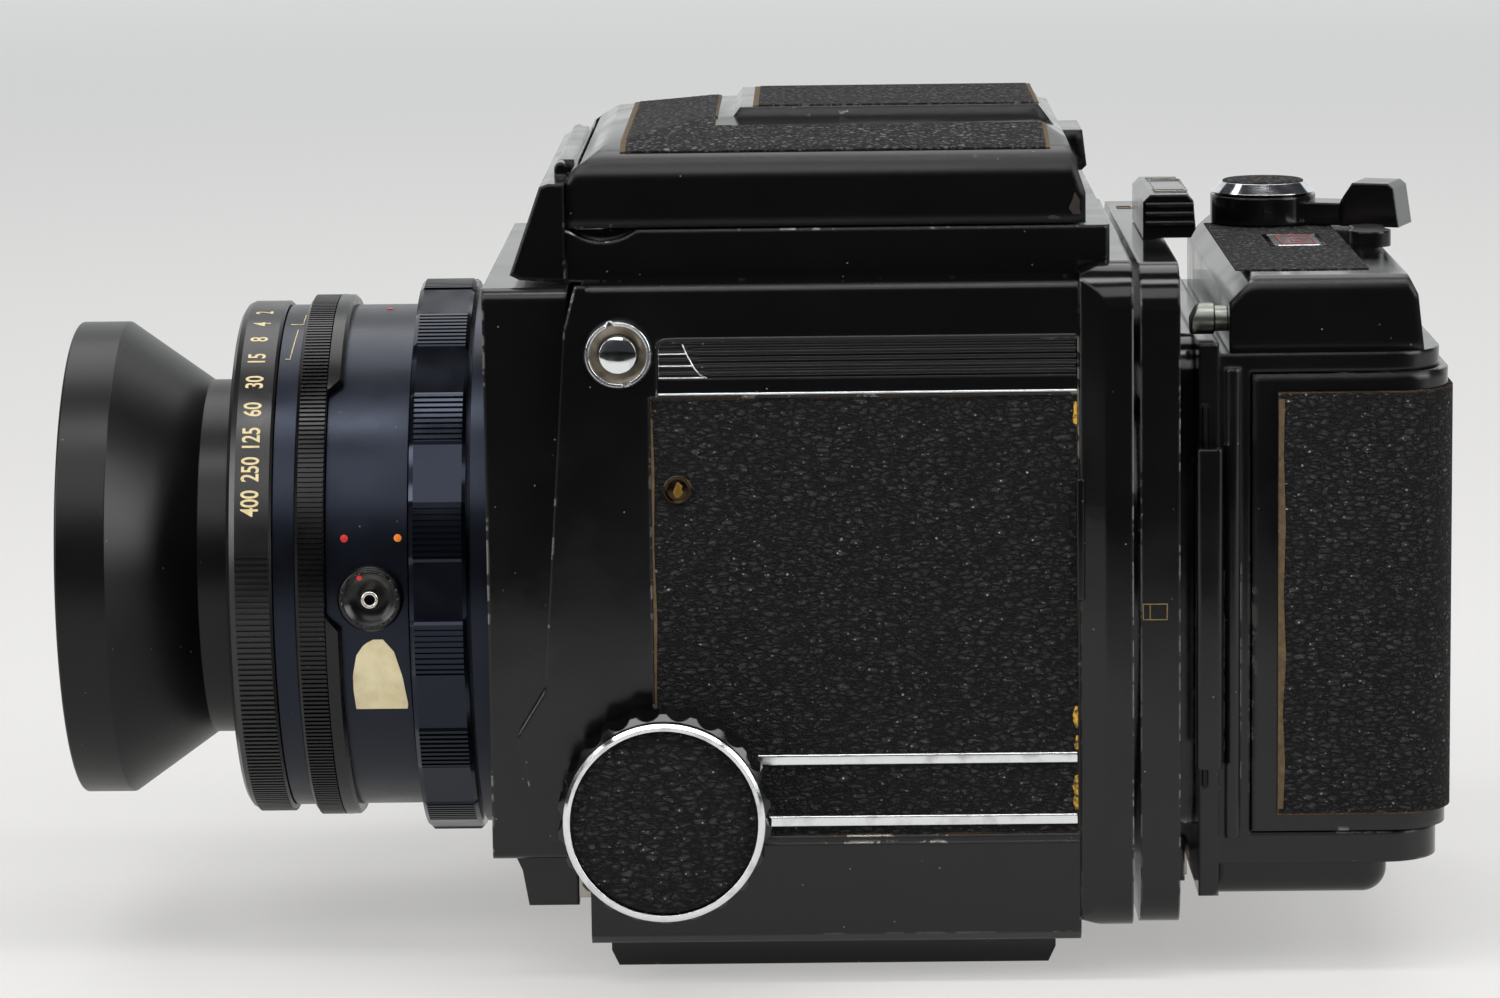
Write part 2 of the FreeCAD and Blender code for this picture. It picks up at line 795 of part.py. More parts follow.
def piece(name, thing):
    """Name a finished sub-part: its label is the name of its file."""
    thing.Label = name
    nodes.append(thing)
    return thing


# Body casting: a hollow box that holds the mirror and the screen, with a recess for the folded bellows in front
# and a cheek on each side that overlaps the front standard.
def cheek_points():
    front = S.body_front
    return [
        (front + 1, S.split_height),
        (front + 1, S.body_top),
        (front - S.cheek_top_reach + S.cheek_top_slant, S.body_top),
        (front - S.cheek_top_reach - S.cheek_top_slant, S.body_top - S.cheek_top_drop),
        (front - S.cheek_waist_reach, S.cheek_waist_height),
        (front - S.cheek_nose_reach, S.cheek_nose_height),
        (front - S.cheek_chin_reach, S.cheek_chin_height),
        (front - S.cheek_foot_reach, S.split_height),
    ]


def make_casting():
    outer = box("casting_block", (S.body_front, S.body_rear), (-S.side_half, S.side_half),
                (S.split_height, S.body_top))
    outer = rounded("casting_edges", outer, S.edge_round,
                    runs_along("x", y=(S.side_half, -S.side_half), z=S.body_top))
    cheek = profiled("cheek_left", "xz", cheek_points(), -S.side_half, -S.side_half + S.cheek_thick)
    joint = (runs_along("y", x=S.body_front + 1), runs_along("y", z=(S.split_height, S.body_top)))
    cheek = rounded("cheek_left_round", cheek, S.cheek_round,
                    lambda edge: runs_along("y")(edge) and not any(test(edge) for test in joint))
    chamber = box("chamber", (S.chamber_front, S.chamber_rear), (-S.chamber_half, S.chamber_half),
                  (S.chamber_floor, S.body_top + 1))
    gate = box("gate_way", (S.gate_floor_front, S.body_rear + 1), (-S.chamber_half, S.chamber_half),
               (S.gate_floor, S.gate_roof))
    window = box("bulkhead_window", (S.chamber_front - S.bulkhead_thick - 1, S.chamber_front + 1),
                 (-S.bulkhead_half, S.bulkhead_half), (S.chamber_floor, S.bulkhead_roof))
    recess = box("bellows_recess", (S.body_front - 1, S.chamber_front - S.bulkhead_thick),
                 (-S.recess_half, S.recess_half), (S.recess_floor, S.recess_roof))
    seat = box("screen_seat", (S.chamber_front - S.screen_step, S.chamber_rear + S.screen_step / 2),
               (-S.chamber_half - S.screen_step, S.chamber_half + S.screen_step),
               (S.body_top - S.screen_thick - S.play, S.body_top + 1))
    tools = [chamber, gate, window, recess, seat]
    tools.append(cylinder("shaft_bore", "y", {"x": S.knob_along, "z": S.knob_height},
                          S.shaft_radius + S.running, -S.side_half - 1, S.side_half + 1))
    tools.append(cylinder("mirror_pin_bore", "y", {"x": S.mirror_along, "z": S.mirror_height},
                          S.mirror_pin_radius + S.running, -S.chamber_half - S.mirror_pin_depth,
                          S.chamber_half + S.mirror_pin_depth))
    pinion_tip = S.tooth_module * (S.pinion_teeth / 2 + 1)
    for side, sign in (("left", -1), ("right", 1)):
        near = sign * (S.rack_inner - S.play)
        far = sign * (S.rack_inner + S.rack_width + S.play)
        low, high = (near, far) if sign > 0 else (far, near)
        tools.append(cylinder(f"pinion_pocket_{side}", "y", {"x": S.knob_along, "z": S.knob_height},
                              pinion_tip + 2 * S.play, low, high))
        skin = sign * (S.side_half + 1)
        floor = sign * (S.side_half - S.panel_depth)
        low, high = (floor, skin) if sign > 0 else (skin, floor)
        tools.append(box(f"leather_pocket_{side}", (S.leather_front, S.body_rear - S.leather_margin),
                         (low, high), (S.leather_bottom, S.leather_top)))
        tools.append(box(f"trim_pocket_{side}", (S.trim_front, S.body_rear - S.leather_margin),
                         (low, high), (S.trim_bottom, S.trim_top)))
    whole = fuse("casting_whole", outer, cheek, mirrored("cheek_right_round", cheek))
    piece("body_casting", cut("casting", whole, *tools))


# Lower casing: the floor of the body, with a tunnel on each side that guides a focusing rack.
def make_lower_casing():
    block = box("lower_block", (S.body_front, S.body_rear), (-S.side_half, S.side_half),
                (S.lower_bottom, S.split_height))
    doc.recompute()
    bevelled = doc.addObject("Part::Chamfer", "lower_bevels")
    bevelled.Base = block
    size = float(S.lower_chamfer)
    test = runs_along("x", y=(S.side_half, -S.side_half), z=S.lower_bottom)
    bevelled.Edges = [(i, size, size) for i, edge in enumerate(block.Shape.Edges, start=1) if test(edge)]
    tools = [box("lower_well", (S.body_front + S.well_end_wall, S.body_rear - S.well_end_wall),
                 (-S.well_half, S.well_half),
                 (S.well_floor, S.split_height + 1))]
    tools.append(cylinder("bush_seat", "z", {"x": 0, "y": 0}, S.bush_radius + S.running,
                          S.lower_bottom - 1, S.bush_height + S.running))
    for side, sign in (("left", -1), ("right", 1)):
        near = sign * (S.rack_inner - S.play)
        far = sign * (S.rack_inner + S.rack_width + S.play)
        low, high = (near, far) if sign > 0 else (far, near)
        tools.append(box(f"rack_tunnel_{side}", (S.body_front - 1, S.rack_rear + S.tunnel_rear_room),
                         (low, high), (S.tunnel_floor, S.split_height + 1)))
    tools.append(cylinder("release_bore", "x", {"y": S.release_side, "z": S.release_height},
                          S.release_radius + S.running, S.body_front - 1, S.body_front + S.release_depth))
    piece("lower_casing", cut("lower_casing_cut", bevelled, *tools))


# Base plate with slanted ends, and the steel bush with the tripod thread.
def make_base():
    slant = S.base_slant
    plate = profiled("base_bar", "xz", [
        (S.base_front + slant, 0),
        (S.base_rear - slant, 0),
        (S.base_rear, S.base_bevel),
        (S.base_rear, S.lower_bottom),
        (S.base_front, S.lower_bottom),
        (S.base_front, S.base_bevel),
    ], -S.base_half, S.base_half)
    hole = cylinder("base_hole", "z", {"x": 0, "y": 0}, S.bush_radius + S.running, -1, S.lower_bottom + 1)
    piece("base_plate", cut("base_plate_cut", plate, hole))
    piece("tripod_bush", turned("bush", "z", {}, [
        (0, S.socket_radius),
        (0, S.bush_radius),
        (S.bush_height, S.bush_radius),
        (S.bush_height, 0),
        (S.socket_depth, 0),
        (S.socket_depth, S.socket_radius),
    ]))


# Side leatherettes and the ribbed trim panels above them, one of each on either side.
def make_side_panels():
    leathers = []
    trims = []
    floor = S.side_half - S.panel_depth
    for side, sign in (("left", -1), ("right", 1)):
        skin = floor + S.leather_thick
        low, high = (sign * floor, sign * skin) if sign > 0 else (sign * skin, sign * floor)
        sheet_of_leather = box(f"leather_{side}",
                               (S.leather_front + S.running, S.body_rear - S.leather_margin - S.running),
                               (low, high), (S.leather_bottom + S.running, S.leather_top - S.running))
        around = cylinder(f"leather_cut_{side}", "y", {"x": S.knob_along, "z": S.knob_height},
                          S.knob_hub + S.leather_hub_clear, low - 1, high + 1)
        leathers.append(cut(f"leather_sheet_{side}", sheet_of_leather, around))
        skin = floor + S.trim_thick
        low, high = (sign * floor, sign * skin) if sign > 0 else (sign * skin, sign * floor)
        bar = box(f"trim_bar_{side}", (S.trim_front + S.running, S.body_rear - S.leather_margin - S.running),
                  (low, high), (S.trim_bottom + S.running, S.trim_top - S.running))
        grooves = []
        for row in range(1, 6):
            level = S.trim_top - S.trim_pitch * row
            skin_low = sign * (floor + S.trim_thick - S.trim_groove)
            skin_high = sign * (floor + S.trim_thick + 1)
            low, high = (skin_low, skin_high) if sign > 0 else (skin_high, skin_low)
            grooves.append(box(f"trim_groove_{side}_{row}", (S.trim_front, S.body_rear), (low, high),
                               (level - S.trim_pitch / 4, level + S.trim_pitch / 4)))
        trims.append(cut(f"trim_plate_{side}", bar, *grooves))
    piece("side_leathers", group("leather_pair", *leathers))
    piece("trim_panels", group("trim_pair", *trims))


# Strap lugs: a headed stud inside a ring, turned in one piece and screwed to the casting. A strap's clip goes
# over the head and springs in behind it.
def make_lugs():
    ring = S.side_half + S.lug_ring_depth
    neck = ring + S.lug_neck_clear
    lug = turned("lug_left", "y", {"x": S.lug_along, "z": S.lug_height}, [
        (S.side_half, 0),
        (S.side_half, S.lug_radius),
        (ring, S.lug_radius),
        (ring, S.lug_radius - S.lug_ring_wall),
        (S.side_half + S.lug_floor, S.lug_radius - S.lug_ring_wall),
        (S.side_half + S.lug_floor, S.lug_neck_radius),
        (neck, S.lug_neck_radius),
        (neck, S.lug_stud_radius),
        (S.side_half + S.lug_stud_reach, S.lug_stud_radius),
        (S.side_half + S.lug_stud_reach, 0),
    ])
    piece("strap_lugs", group("lug_pair", lug, mirrored("lug_right", lug)))


# Focusing drive: a rack under each side of the carriage, and a cross shaft with two pinions that mesh with
# them.
def rack_outline(first, last):
    """One rack in X and Z, its teeth a pinion's straight-flanked mates, a gap under the pinion's centre."""
    module = float(S.tooth_module)
    slope = math.tan(math.radians(20))
    pitch = math.pi * module
    level = float(S.knob_height) - module * float(S.pinion_teeth) / 2
    half = pitch / 4 - float(S.backlash) / 2
    tip, root = level + 0.9 * module, level - 1.25 * module
    centre = float(S.knob_along) + pitch / 2
    centres = []
    step = math.ceil((first - centre) / pitch + 0.7)
    while centre + step * pitch < last - 0.7 * pitch:
        centres.append(centre + step * pitch)
        step += 1
    points = [Vector(first, 0, float(S.rack_bottom)), Vector(first, 0, root)]
    for middle in centres:
        wide = half + slope * (level - root)
        narrow = half - slope * (tip - level)
        points += [Vector(middle - wide, 0, root), Vector(middle - narrow, 0, tip)]
        points += [Vector(middle + narrow, 0, tip), Vector(middle + wide, 0, root)]
    points += [Vector(last, 0, root), Vector(last, 0, float(S.rack_bottom))]
    return points


def involute(base, radius):
    """The angle by which an involute from the base circle has turned at a radius."""
    roll = math.sqrt(max(0.0, (radius / base) ** 2 - 1))
    return roll - math.atan(roll)


def pinion_outline():
    """A pinion's teeth in X and Z about its own centre, one tooth pointing down."""
    module, teeth = float(S.tooth_module), int(float(S.pinion_teeth))
    pitch_radius = module * teeth / 2
    base = pitch_radius * math.cos(math.radians(20))
    tip, root = pitch_radius + 0.9 * module, pitch_radius - 1.2 * module
    half_tooth = (math.pi / 2 - float(S.backlash) / (2 * module)) / teeth
    steps = 4
    radii = [base + (tip - base) * i / steps for i in range(steps + 1)]
    points = []
    for tooth in range(teeth):
        middle = -math.pi / 2 + 2 * math.pi * tooth / teeth
        flank = [(r, half_tooth + involute(base, pitch_radius) - involute(base, r)) for r in radii]
        flank = [(root, flank[0][1])] + flank
        left = [(r, middle - angle) for r, angle in flank]
        right = [(r, middle + angle) for r, angle in reversed(flank)]
        points += [Vector(r * math.cos(a), 0, r * math.sin(a)) for r, a in left + right]
    return points


def slab(name, points, thick):
    """A solid of a many-cornered outline in X and Z, thick along Y."""
    face = Part.Face(Part.makePolygon(points + [points[0]]))
    shape = doc.addObject("Part::Feature", name)
    shape.Shape = face.extrude(Vector(0, float(thick), 0))
    return shape


def make_focus_racks():
    racks = []
    for side, start in (("left", -(S.rack_inner + S.rack_width)), ("right", S.rack_inner)):
        rack = slab(f"rack_{side}", rack_outline(float(S.standard_rear), float(S.rack_rear)), S.rack_width)
        place(rack, {"y": start})
        racks.append(rack)
    piece("focus_racks", group("rack_pair", *racks))


def make_focus_shaft():
    reach = S.side_half + S.knob_standoff + S.knob_width
    at = {"x": S.knob_along, "z": S.knob_height}
    piece("focus_shaft", cylinder("cross_shaft", "y", at, S.shaft_radius, -reach, reach))
    pinions = []
    width = S.rack_width - 2 * S.play
    for side, start in (("left", -(S.rack_inner + S.rack_width) + S.play), ("right", S.rack_inner + S.play)):
        wheel = slab(f"pinion_wheel_{side}", pinion_outline(), width)
        place(wheel, dict(at, y=start))
        bore = cylinder(f"pinion_bore_{side}", "y", at, S.shaft_radius, start - 1, start + width + 1)
        pinions.append(cut(f"pinion_{side}", wheel, bore))
    piece("focus_pinions", group("pinion_pair", *pinions))


def make_knobs():
    """Scalloped knobs: a turned disc with one scallop cut and repeated round the rim."""
    at = {"x": S.knob_along, "z": S.knob_height}
    inner = S.side_half + S.knob_standoff
    outer = inner + S.knob_width
    knob = turned("knob_left", "y", at, [
        (S.side_half + S.play, S.shaft_radius),
        (S.side_half + S.play, S.knob_hub),
        (inner, S.knob_hub),
        (inner, S.knob_radius - S.knob_bevel),
        (inner + S.knob_bevel, S.knob_radius),
        (outer - S.knob_face_bevel, S.knob_radius),
        (outer, S.knob_radius - S.knob_face_bevel),
        (outer, S.shaft_radius),
    ])
    doc.recompute()
    ring = S.knob_radius + S.scallop_radius - S.scallop_depth
    sketch = knob.newObject("Sketcher::SketchObject", "scallop_outline")
    sketch.AttachmentSupport = (plane_of(knob, "YZ_Plane"), [""])
    sketch.MapMode = "FlatFace"
    sketch.addGeometry(Part.Circle(Vector(ring.value, 0, 0), Vector(0, 0, 1), S.scallop_radius.value), False)
    for kind, place_on, size in (("DistanceX", 3, ring), ("DistanceY", 3, as_size(0))):
        held = sketch.addConstraint(Sketcher.Constraint(kind, -1, 1, 0, place_on, size.value))
        sketch.setExpression(f"Constraints[{held}]", size.text)
    held = sketch.addConstraint(Sketcher.Constraint("Radius", 0, S.scallop_radius.value))
    sketch.setExpression(f"Constraints[{held}]", S.scallop_radius.text)
    bind(sketch, "AttachmentOffset.Base.z", inner - 1)
    scoop = knob.newObject("PartDesign::Pocket", "scallop")
    scoop.Profile = sketch
    scoop.Reversed = True
    bind(scoop, "Length", S.knob_width + 2)
    around = knob.newObject("PartDesign::PolarPattern", "scallops")
    around.Originals = [scoop]
    around.Axis = (plane_of(knob, "X_Axis"), [""])
    around.Angle = 360
    bind(around, "Occurrences", S.scallops)
    knob.Tip = around
    piece("focus_knobs", group("knob_pair", knob, mirrored("knob_right", knob)))
    ring_part = turned("ring_left", "y", at, [
        (outer, S.ring_radius - S.ring_wall),
        (outer, S.ring_radius),
        (outer + S.ring_proud - S.ring_bevel, S.ring_radius),
        (outer + S.ring_proud, S.ring_radius - S.ring_bevel),
        (outer + S.ring_proud, S.ring_radius - S.ring_wall),
    ])
    piece("knob_rings", group("ring_pair", ring_part, mirrored("ring_right", ring_part)))


# Focus lock: a lever whose ring turns on the right hand knob's hub, between the knob and the casting.
def make_focus_lock():
    at = {"x": S.knob_along, "z": S.knob_height}
    low = S.side_half + S.play
    high = low + S.lock_thick
    ring = cylinder("lock_ring", "y", at, S.lock_ring, low, high)
    arm = box("lock_arm", (S.knob_along - S.lock_reach, S.knob_along), (low, high),
              (S.knob_height - S.lock_width / 2, S.knob_height + S.lock_width / 2))
    arm = rounded("lock_arm_round", arm, S.lock_width / 2.2,
                  runs_along("y", x=S.knob_along - S.lock_reach))
    bore = cylinder("lock_bore", "y", at, S.knob_hub + S.running, low - 1, high + 1)
    piece("focus_lock_lever", cut("lock_lever", fuse("lock_blank", ring, arm), bore))


# Front standard: the panel that carries the lens, hollow behind for the bellows, on a beam with the racks.
def make_standard():
    block = box("standard_block", (S.standard_front, S.standard_rear), (-S.standard_half, S.standard_half),
                (S.standard_bottom, S.standard_top))
    block = rounded("standard_edges", block, S.standard_round,
                    runs_along("x", y=(S.standard_half, -S.standard_half)))
    hollow = box("standard_hollow", (S.standard_front + S.standard_wall, S.standard_rear + 1),
                 (-S.standard_half + S.standard_rim, S.standard_half - S.standard_rim),
                 (S.standard_bottom + S.standard_rim - 1, S.standard_top - S.standard_rim))
    throat = cylinder("throat", "x", {"y": 0, "z": S.axis_height}, S.throat_radius,
                      S.standard_front - 1, S.standard_rear)
    piece("front_standard", cut("standard_cut", block, hollow, throat))
    piece("carriage", profiled("carriage_beam", "xz", [
        (S.standard_rear, S.standard_bottom),
        (S.carriage_front - 1.3, S.standard_bottom),
        (S.carriage_front, S.carriage_lip),
        (S.carriage_front + 1, S.carriage_bottom),
        (S.standard_rear, S.carriage_bottom),
    ], -S.carriage_half, S.carriage_half))


# Bellows: a square concertina of coated cloth, shown folded, from the standard to the bulkhead.
def bellows_ring(along, inset):
    half_width = float(S.bellows_half_width) - inset
    half_height = float(S.bellows_half_height) - inset
    middle = float(S.axis_height)
    corners = [(-1, -1), (1, -1), (1, 1), (-1, 1), (-1, -1)]
    return Part.makePolygon([Vector(along, y * half_width, middle + z * half_height) for y, z in corners])


def make_bellows():
    front = float(S.standard_front + S.standard_wall)
    rear = float(S.chamber_front - S.bulkhead_thick - S.play)
    bends = 2 * int(float(S.folds))
    outer = []
    inner = []
    for bend in range(bends + 1):
        along = front + (rear - front) * bend / bends
        inset = float(S.fold_depth) * (bend % 2 == 0)
        outer.append(bellows_ring(along, inset))
        inner.append(bellows_ring(along, inset + float(S.cloth_thick)))
    cloth = doc.addObject("Part::Feature", "bellows_cloth")
    cloth.Shape = Part.makeLoft(outer, True, True).cut(Part.makeLoft(inner, True, True))
    piece("bellows", cloth)


# Lens: flange and hub on the standard, a breech ring that turns on the hub, and the barrel with its two rings.
def make_flange():
    piece("lens_flange", turned("flange", "x", {"z": S.axis_height}, [
        (S.standard_front, S.throat_radius),
        (S.standard_front, S.flange_radius),
        (S.standard_front - S.flange_thick, S.flange_radius),
        (S.standard_front - S.flange_thick, S.hub_radius),
        (S.breech_front + S.play, S.hub_radius),
        (S.breech_front + S.play, S.throat_radius),
    ]))


def milled(body, name, points, low, high):
    """Cut one outline, drawn across a turned piece's axis, from low to high along it."""
    doc.recompute()
    sketch = sketch_on(body, name + "_outline", "YZ_Plane", points)
    bind(sketch, "AttachmentOffset.Base.z", low)
    cutter = body.newObject("PartDesign::Pocket", name)
    cutter.Profile = sketch
    cutter.Reversed = True
    bind(cutter, "Length", as_size(high) - low)
    body.Tip = cutter
    return cutter


def make_breech_ring():
    """A turned ring with flats milled round it, which leave the raised pads between them."""
    ring = turned("breech_blank", "x", {"z": S.axis_height}, [
        (S.breech_rear, S.hub_radius + S.running),
        (S.breech_rear, S.breech_radius - S.breech_bevel),
        (S.breech_rear - S.breech_bevel, S.breech_radius),
        (S.breech_front + S.breech_bevel, S.breech_radius),
        (S.breech_front, S.breech_radius - S.breech_bevel),
        (S.breech_front, S.hub_radius + S.running),
    ])
    floor = -(S.breech_radius - S.breech_land_drop)
    flat = milled(ring, "breech_flat", [
        (-S.breech_land_half, floor),
        (-S.breech_land_half, floor - 2),
        (S.breech_land_half, floor - 2),
        (S.breech_land_half, floor),
    ], S.breech_front - 1, S.breech_rear + 1)
    around = ring.newObject("PartDesign::PolarPattern", "breech_flats")
    around.Originals = [flat]
    around.Axis = (plane_of(ring, "X_Axis"), [""])
    around.Angle = 360
    bind(around, "Occurrences", S.breech_pads)
    ring.Tip = around
    piece("breech_ring", ring)


def make_barrel():
    core = S.filter_radius + S.barrel_wall
    rear = S.standard_front + S.standard_wall
    tube = S.throat_radius - S.running
    blade_rear = S.blade_front + S.blade_slot
    glass_back = S.speed_front + S.filter_depth + S.front_glass_thick
    body = turned("barrel_turning", "x", {"z": S.axis_height}, [
        (rear, S.rear_glass_radius + S.running),
        (rear, tube),
        (S.breech_front + S.play, tube),
        (S.breech_front + S.play, S.hub_radius),
        (S.breech_front - S.play, S.hub_radius),
        (S.breech_front - S.play, S.barrel_radius),
        (S.aperture_rear + S.play / 3, S.barrel_radius),
        (S.aperture_rear + S.play / 3, core),
        (S.aperture_front - S.play / 3, core),
        (S.aperture_front - S.play / 3, S.collar_radius),
        (S.speed_rear + S.play / 3, S.collar_radius),
        (S.speed_rear + S.play / 3, core),
        (S.speed_front + S.play, core),
        (S.speed_front + S.play, S.filter_radius),
        (S.speed_front + S.filter_depth, S.filter_radius),
        (S.speed_front + S.filter_depth, S.front_glass_radius + S.running),
        (glass_back, S.front_glass_radius + S.running),
        (glass_back, S.light_bore),
        (S.blade_front, S.light_bore),
        (S.blade_front, S.blade_radius),
        (blade_rear, S.blade_radius),
        (blade_rear, S.light_bore),
        (rear - S.rear_glass_thick, S.light_bore),
        (rear - S.rear_glass_thick, S.rear_glass_radius + S.running),
    ])
    seat = cylinder("terminal_hole", "y", {"x": S.terminal_along, "z": S.axis_height},
                    S.terminal_radius + S.running, -S.barrel_radius - 3, -S.terminal_seat)
    piece("lens_barrel", cut("barrel_cut", body, seat))
    piece("sync_terminal", turned("terminal", "y", {"x": S.terminal_along, "z": S.axis_height}, [
        (-S.terminal_seat, 0),
        (-S.terminal_seat, S.terminal_radius),
        (-S.barrel_radius - S.terminal_collar, S.terminal_radius),
        (-S.barrel_radius - S.terminal_collar, S.terminal_radius - S.terminal_wall),
        (-S.terminal_reach, S.terminal_radius - S.terminal_wall),
        (-S.terminal_reach, S.terminal_bore),
        (-S.terminal_reach + S.terminal_bore_depth, S.terminal_bore),
        (-S.terminal_reach + S.terminal_bore_depth, 0),
    ]))


# The aperture ring's skirt is cut away beside the flash socket, between these angles up from the near side.
SKIRT_NOTCH = (math.radians(-7), math.radians(50))


def make_lens_rings():
    core = S.filter_radius + S.barrel_wall + S.running
    skirt = S.aperture_rear + S.skirt_length
    under = S.barrel_radius + S.running
    ring = turned("aperture_turning", "x", {"z": S.axis_height}, [
        (S.aperture_rear, core),
        (S.aperture_rear, under),
        (skirt, under),
        (skirt, S.aperture_radius - S.aperture_bevel),
        (skirt - S.aperture_bevel, S.aperture_radius),
        (S.aperture_front + S.aperture_bevel, S.aperture_radius),
        (S.aperture_front, S.aperture_radius - S.aperture_bevel),
        (S.aperture_front, core),
    ])
    reach = S.aperture_radius + 2
    milled(ring, "skirt_notch", [
        (0, 0),
        (-reach * math.cos(SKIRT_NOTCH[0]), reach * math.sin(SKIRT_NOTCH[0])),
        (-reach * 1.4 * math.cos(sum(SKIRT_NOTCH) / 2), reach * 1.4 * math.sin(sum(SKIRT_NOTCH) / 2)),
        (-reach * math.cos(SKIRT_NOTCH[1]), reach * math.sin(SKIRT_NOTCH[1])),
    ], S.aperture_rear, skirt + 1)
    piece("aperture_ring", ring)
    soft = S.speed_round
    piece("speed_ring", turned("speed_turning", "x", {"z": S.axis_height}, [
        (S.speed_rear, core),
        (S.speed_rear, S.speed_radius - 0.4),
        (S.speed_rear - 0.4, S.speed_radius),
        (S.speed_front + soft, S.speed_radius),
        (S.speed_front + soft * 0.3, S.speed_radius - soft * 0.3),
        (S.speed_front, S.speed_radius - soft),
        (S.speed_front, core),
    ]))


def make_lens_inside():
    seat = S.speed_front + S.filter_depth
    piece("front_bezel", turned("bezel", "x", {"z": S.axis_height}, [
        (seat, S.front_glass_radius),
        (seat, S.filter_radius - S.running),
        (seat - 1.2, S.filter_radius - S.running),
        (seat - 0.4, S.front_glass_radius),
    ]))
    rear = S.standard_front + S.standard_wall
    edge = S.front_glass_radius - S.running
    crown = S.front_glass_crown
    glass_front = turned("front_element", "x", {"z": S.axis_height}, [
        (seat + S.front_glass_thick, 0),
        (seat + S.front_glass_thick, edge),
        (seat + crown, edge),
        (seat + crown * 0.44, edge * 0.75),
        (seat + crown * 0.11, edge * 0.38),
        (seat, 0),
    ])
    back = S.rear_glass_radius - S.running
    glass_rear = turned("rear_element", "x", {"z": S.axis_height}, [
        (rear - S.rear_glass_thick, 0),
        (rear - S.rear_glass_thick, back),
        (rear - crown, back),
        (rear - crown * 0.3, back * 0.6),
        (rear, 0),
    ])
    piece("lens_glass", group("glass_pair", glass_front, glass_rear))


def blade_stack(name, start, petals, opening):
    """A ring of thin blades that leave a many-sided opening: a disc with that opening cut in it."""
    disc = cylinder(name + "_disc", "x", {"y": 0, "z": S.axis_height}, S.blade_radius - S.running,
                    start, start + S.blade_thick)
    prism = doc.addObject("Part::Prism", name + "_opening")
    prism.Polygon = petals
    prism.Placement = Placement(Vector(), UPRIGHT["x"])
    bind(prism, "Circumradius", opening)
    bind(prism, "Height", S.blade_thick + 2)
    place(prism, {"x": start - 1, "z": S.axis_height})
    return cut(name, disc, prism)


def make_blades():
    gap = (S.blade_slot - 2 * S.blade_thick) / 3
    start = S.blade_front + gap
    piece("aperture_blades", blade_stack("iris", start, 5, S.light_bore * 0.5))
    piece("shutter_blades", blade_stack("leaf_shutter", start + S.blade_thick + gap, 5, S.light_bore * 0.12))


def make_hood():
    seat = S.speed_front + S.filter_depth - 1.2 - S.running
    flange = S.speed_front + 0.5
    neck = S.hood_neck_radius
    wall = S.hood_wall
    piece("lens_hood", turned("hood", "x", {"z": S.axis_height}, [
        (seat, neck - wall),
        (seat, S.filter_radius - S.running),
        (flange, S.filter_radius - S.running),
        (flange, neck),
        (S.hood_neck_front, neck),
        (S.hood_crease, S.hood_radius),
        (S.hood_rim, S.hood_radius),
        (S.hood_rim, S.hood_radius - wall),
        (S.hood_crease + wall * 0.3, S.hood_radius - wall),
        (S.hood_neck_front + wall * 0.5, neck - wall),
    ]))


# Reflex mirror: a tray and its glass at 45 degrees, hung on a pin across the rear of the light chamber.
def tilted_box(name, along, across, through):
    """A box square to the mirror: along it down from the pin, across the camera, and through its thickness."""
    block = doc.addObject("Part::Box", name)
    for prop, (low, high) in (("Length", along), ("Width", across), ("Height", through)):
        bind(block, prop, as_size(high) - low)
    block.Placement = Placement(Vector(), Rotation(Vector(0, 1, 0), -225))
    slant = math.sqrt(0.5)
    bind(block, "Placement.Base.x", S.mirror_along - slant * as_size(along[0]) + slant * as_size(through[0]))
    bind(block, "Placement.Base.y", across[0])
    bind(block, "Placement.Base.z", S.mirror_height - slant * as_size(along[0]) - slant * as_size(through[0]))
    return block


def make_mirror():
    tray = tilted_box("mirror_tray", (S.mirror_pin_radius + 0.5, S.mirror_length),
                      (-S.mirror_half, S.mirror_half), (0, S.mirror_thick))
    knuckle = tilted_box("mirror_knuckle", (0, S.mirror_pin_radius + 1), (-S.mirror_half, S.mirror_half),
                         (0, S.mirror_thick))
    pin = cylinder("mirror_pin", "y", {"x": S.mirror_along, "z": S.mirror_height}, S.mirror_pin_radius,
                   -S.chamber_half - S.mirror_pin_depth + S.play, S.chamber_half + S.mirror_pin_depth - S.play)
    piece("mirror_frame", fuse("mirror_carrier", tray, knuckle, pin))
    piece("mirror_glass", tilted_box("mirror_plate", (S.mirror_pin_radius + 1.5, S.mirror_length - 0.5),
                                     (-S.mirror_half + 0.5, S.mirror_half - 0.5),
                                     (-S.mirror_glass_thick, 0)))


# Focusing screen, in the step at the top of the casting.
def make_screen():
    seat = S.screen_step - S.running
    piece("focusing_screen", box(
        "ground_screen",
        (S.chamber_front - seat, S.chamber_rear + S.screen_step / 2 - S.running),
        (-S.chamber_half - seat, S.chamber_half + seat),
        (S.body_top - S.screen_thick - S.play, S.body_top - S.play)))


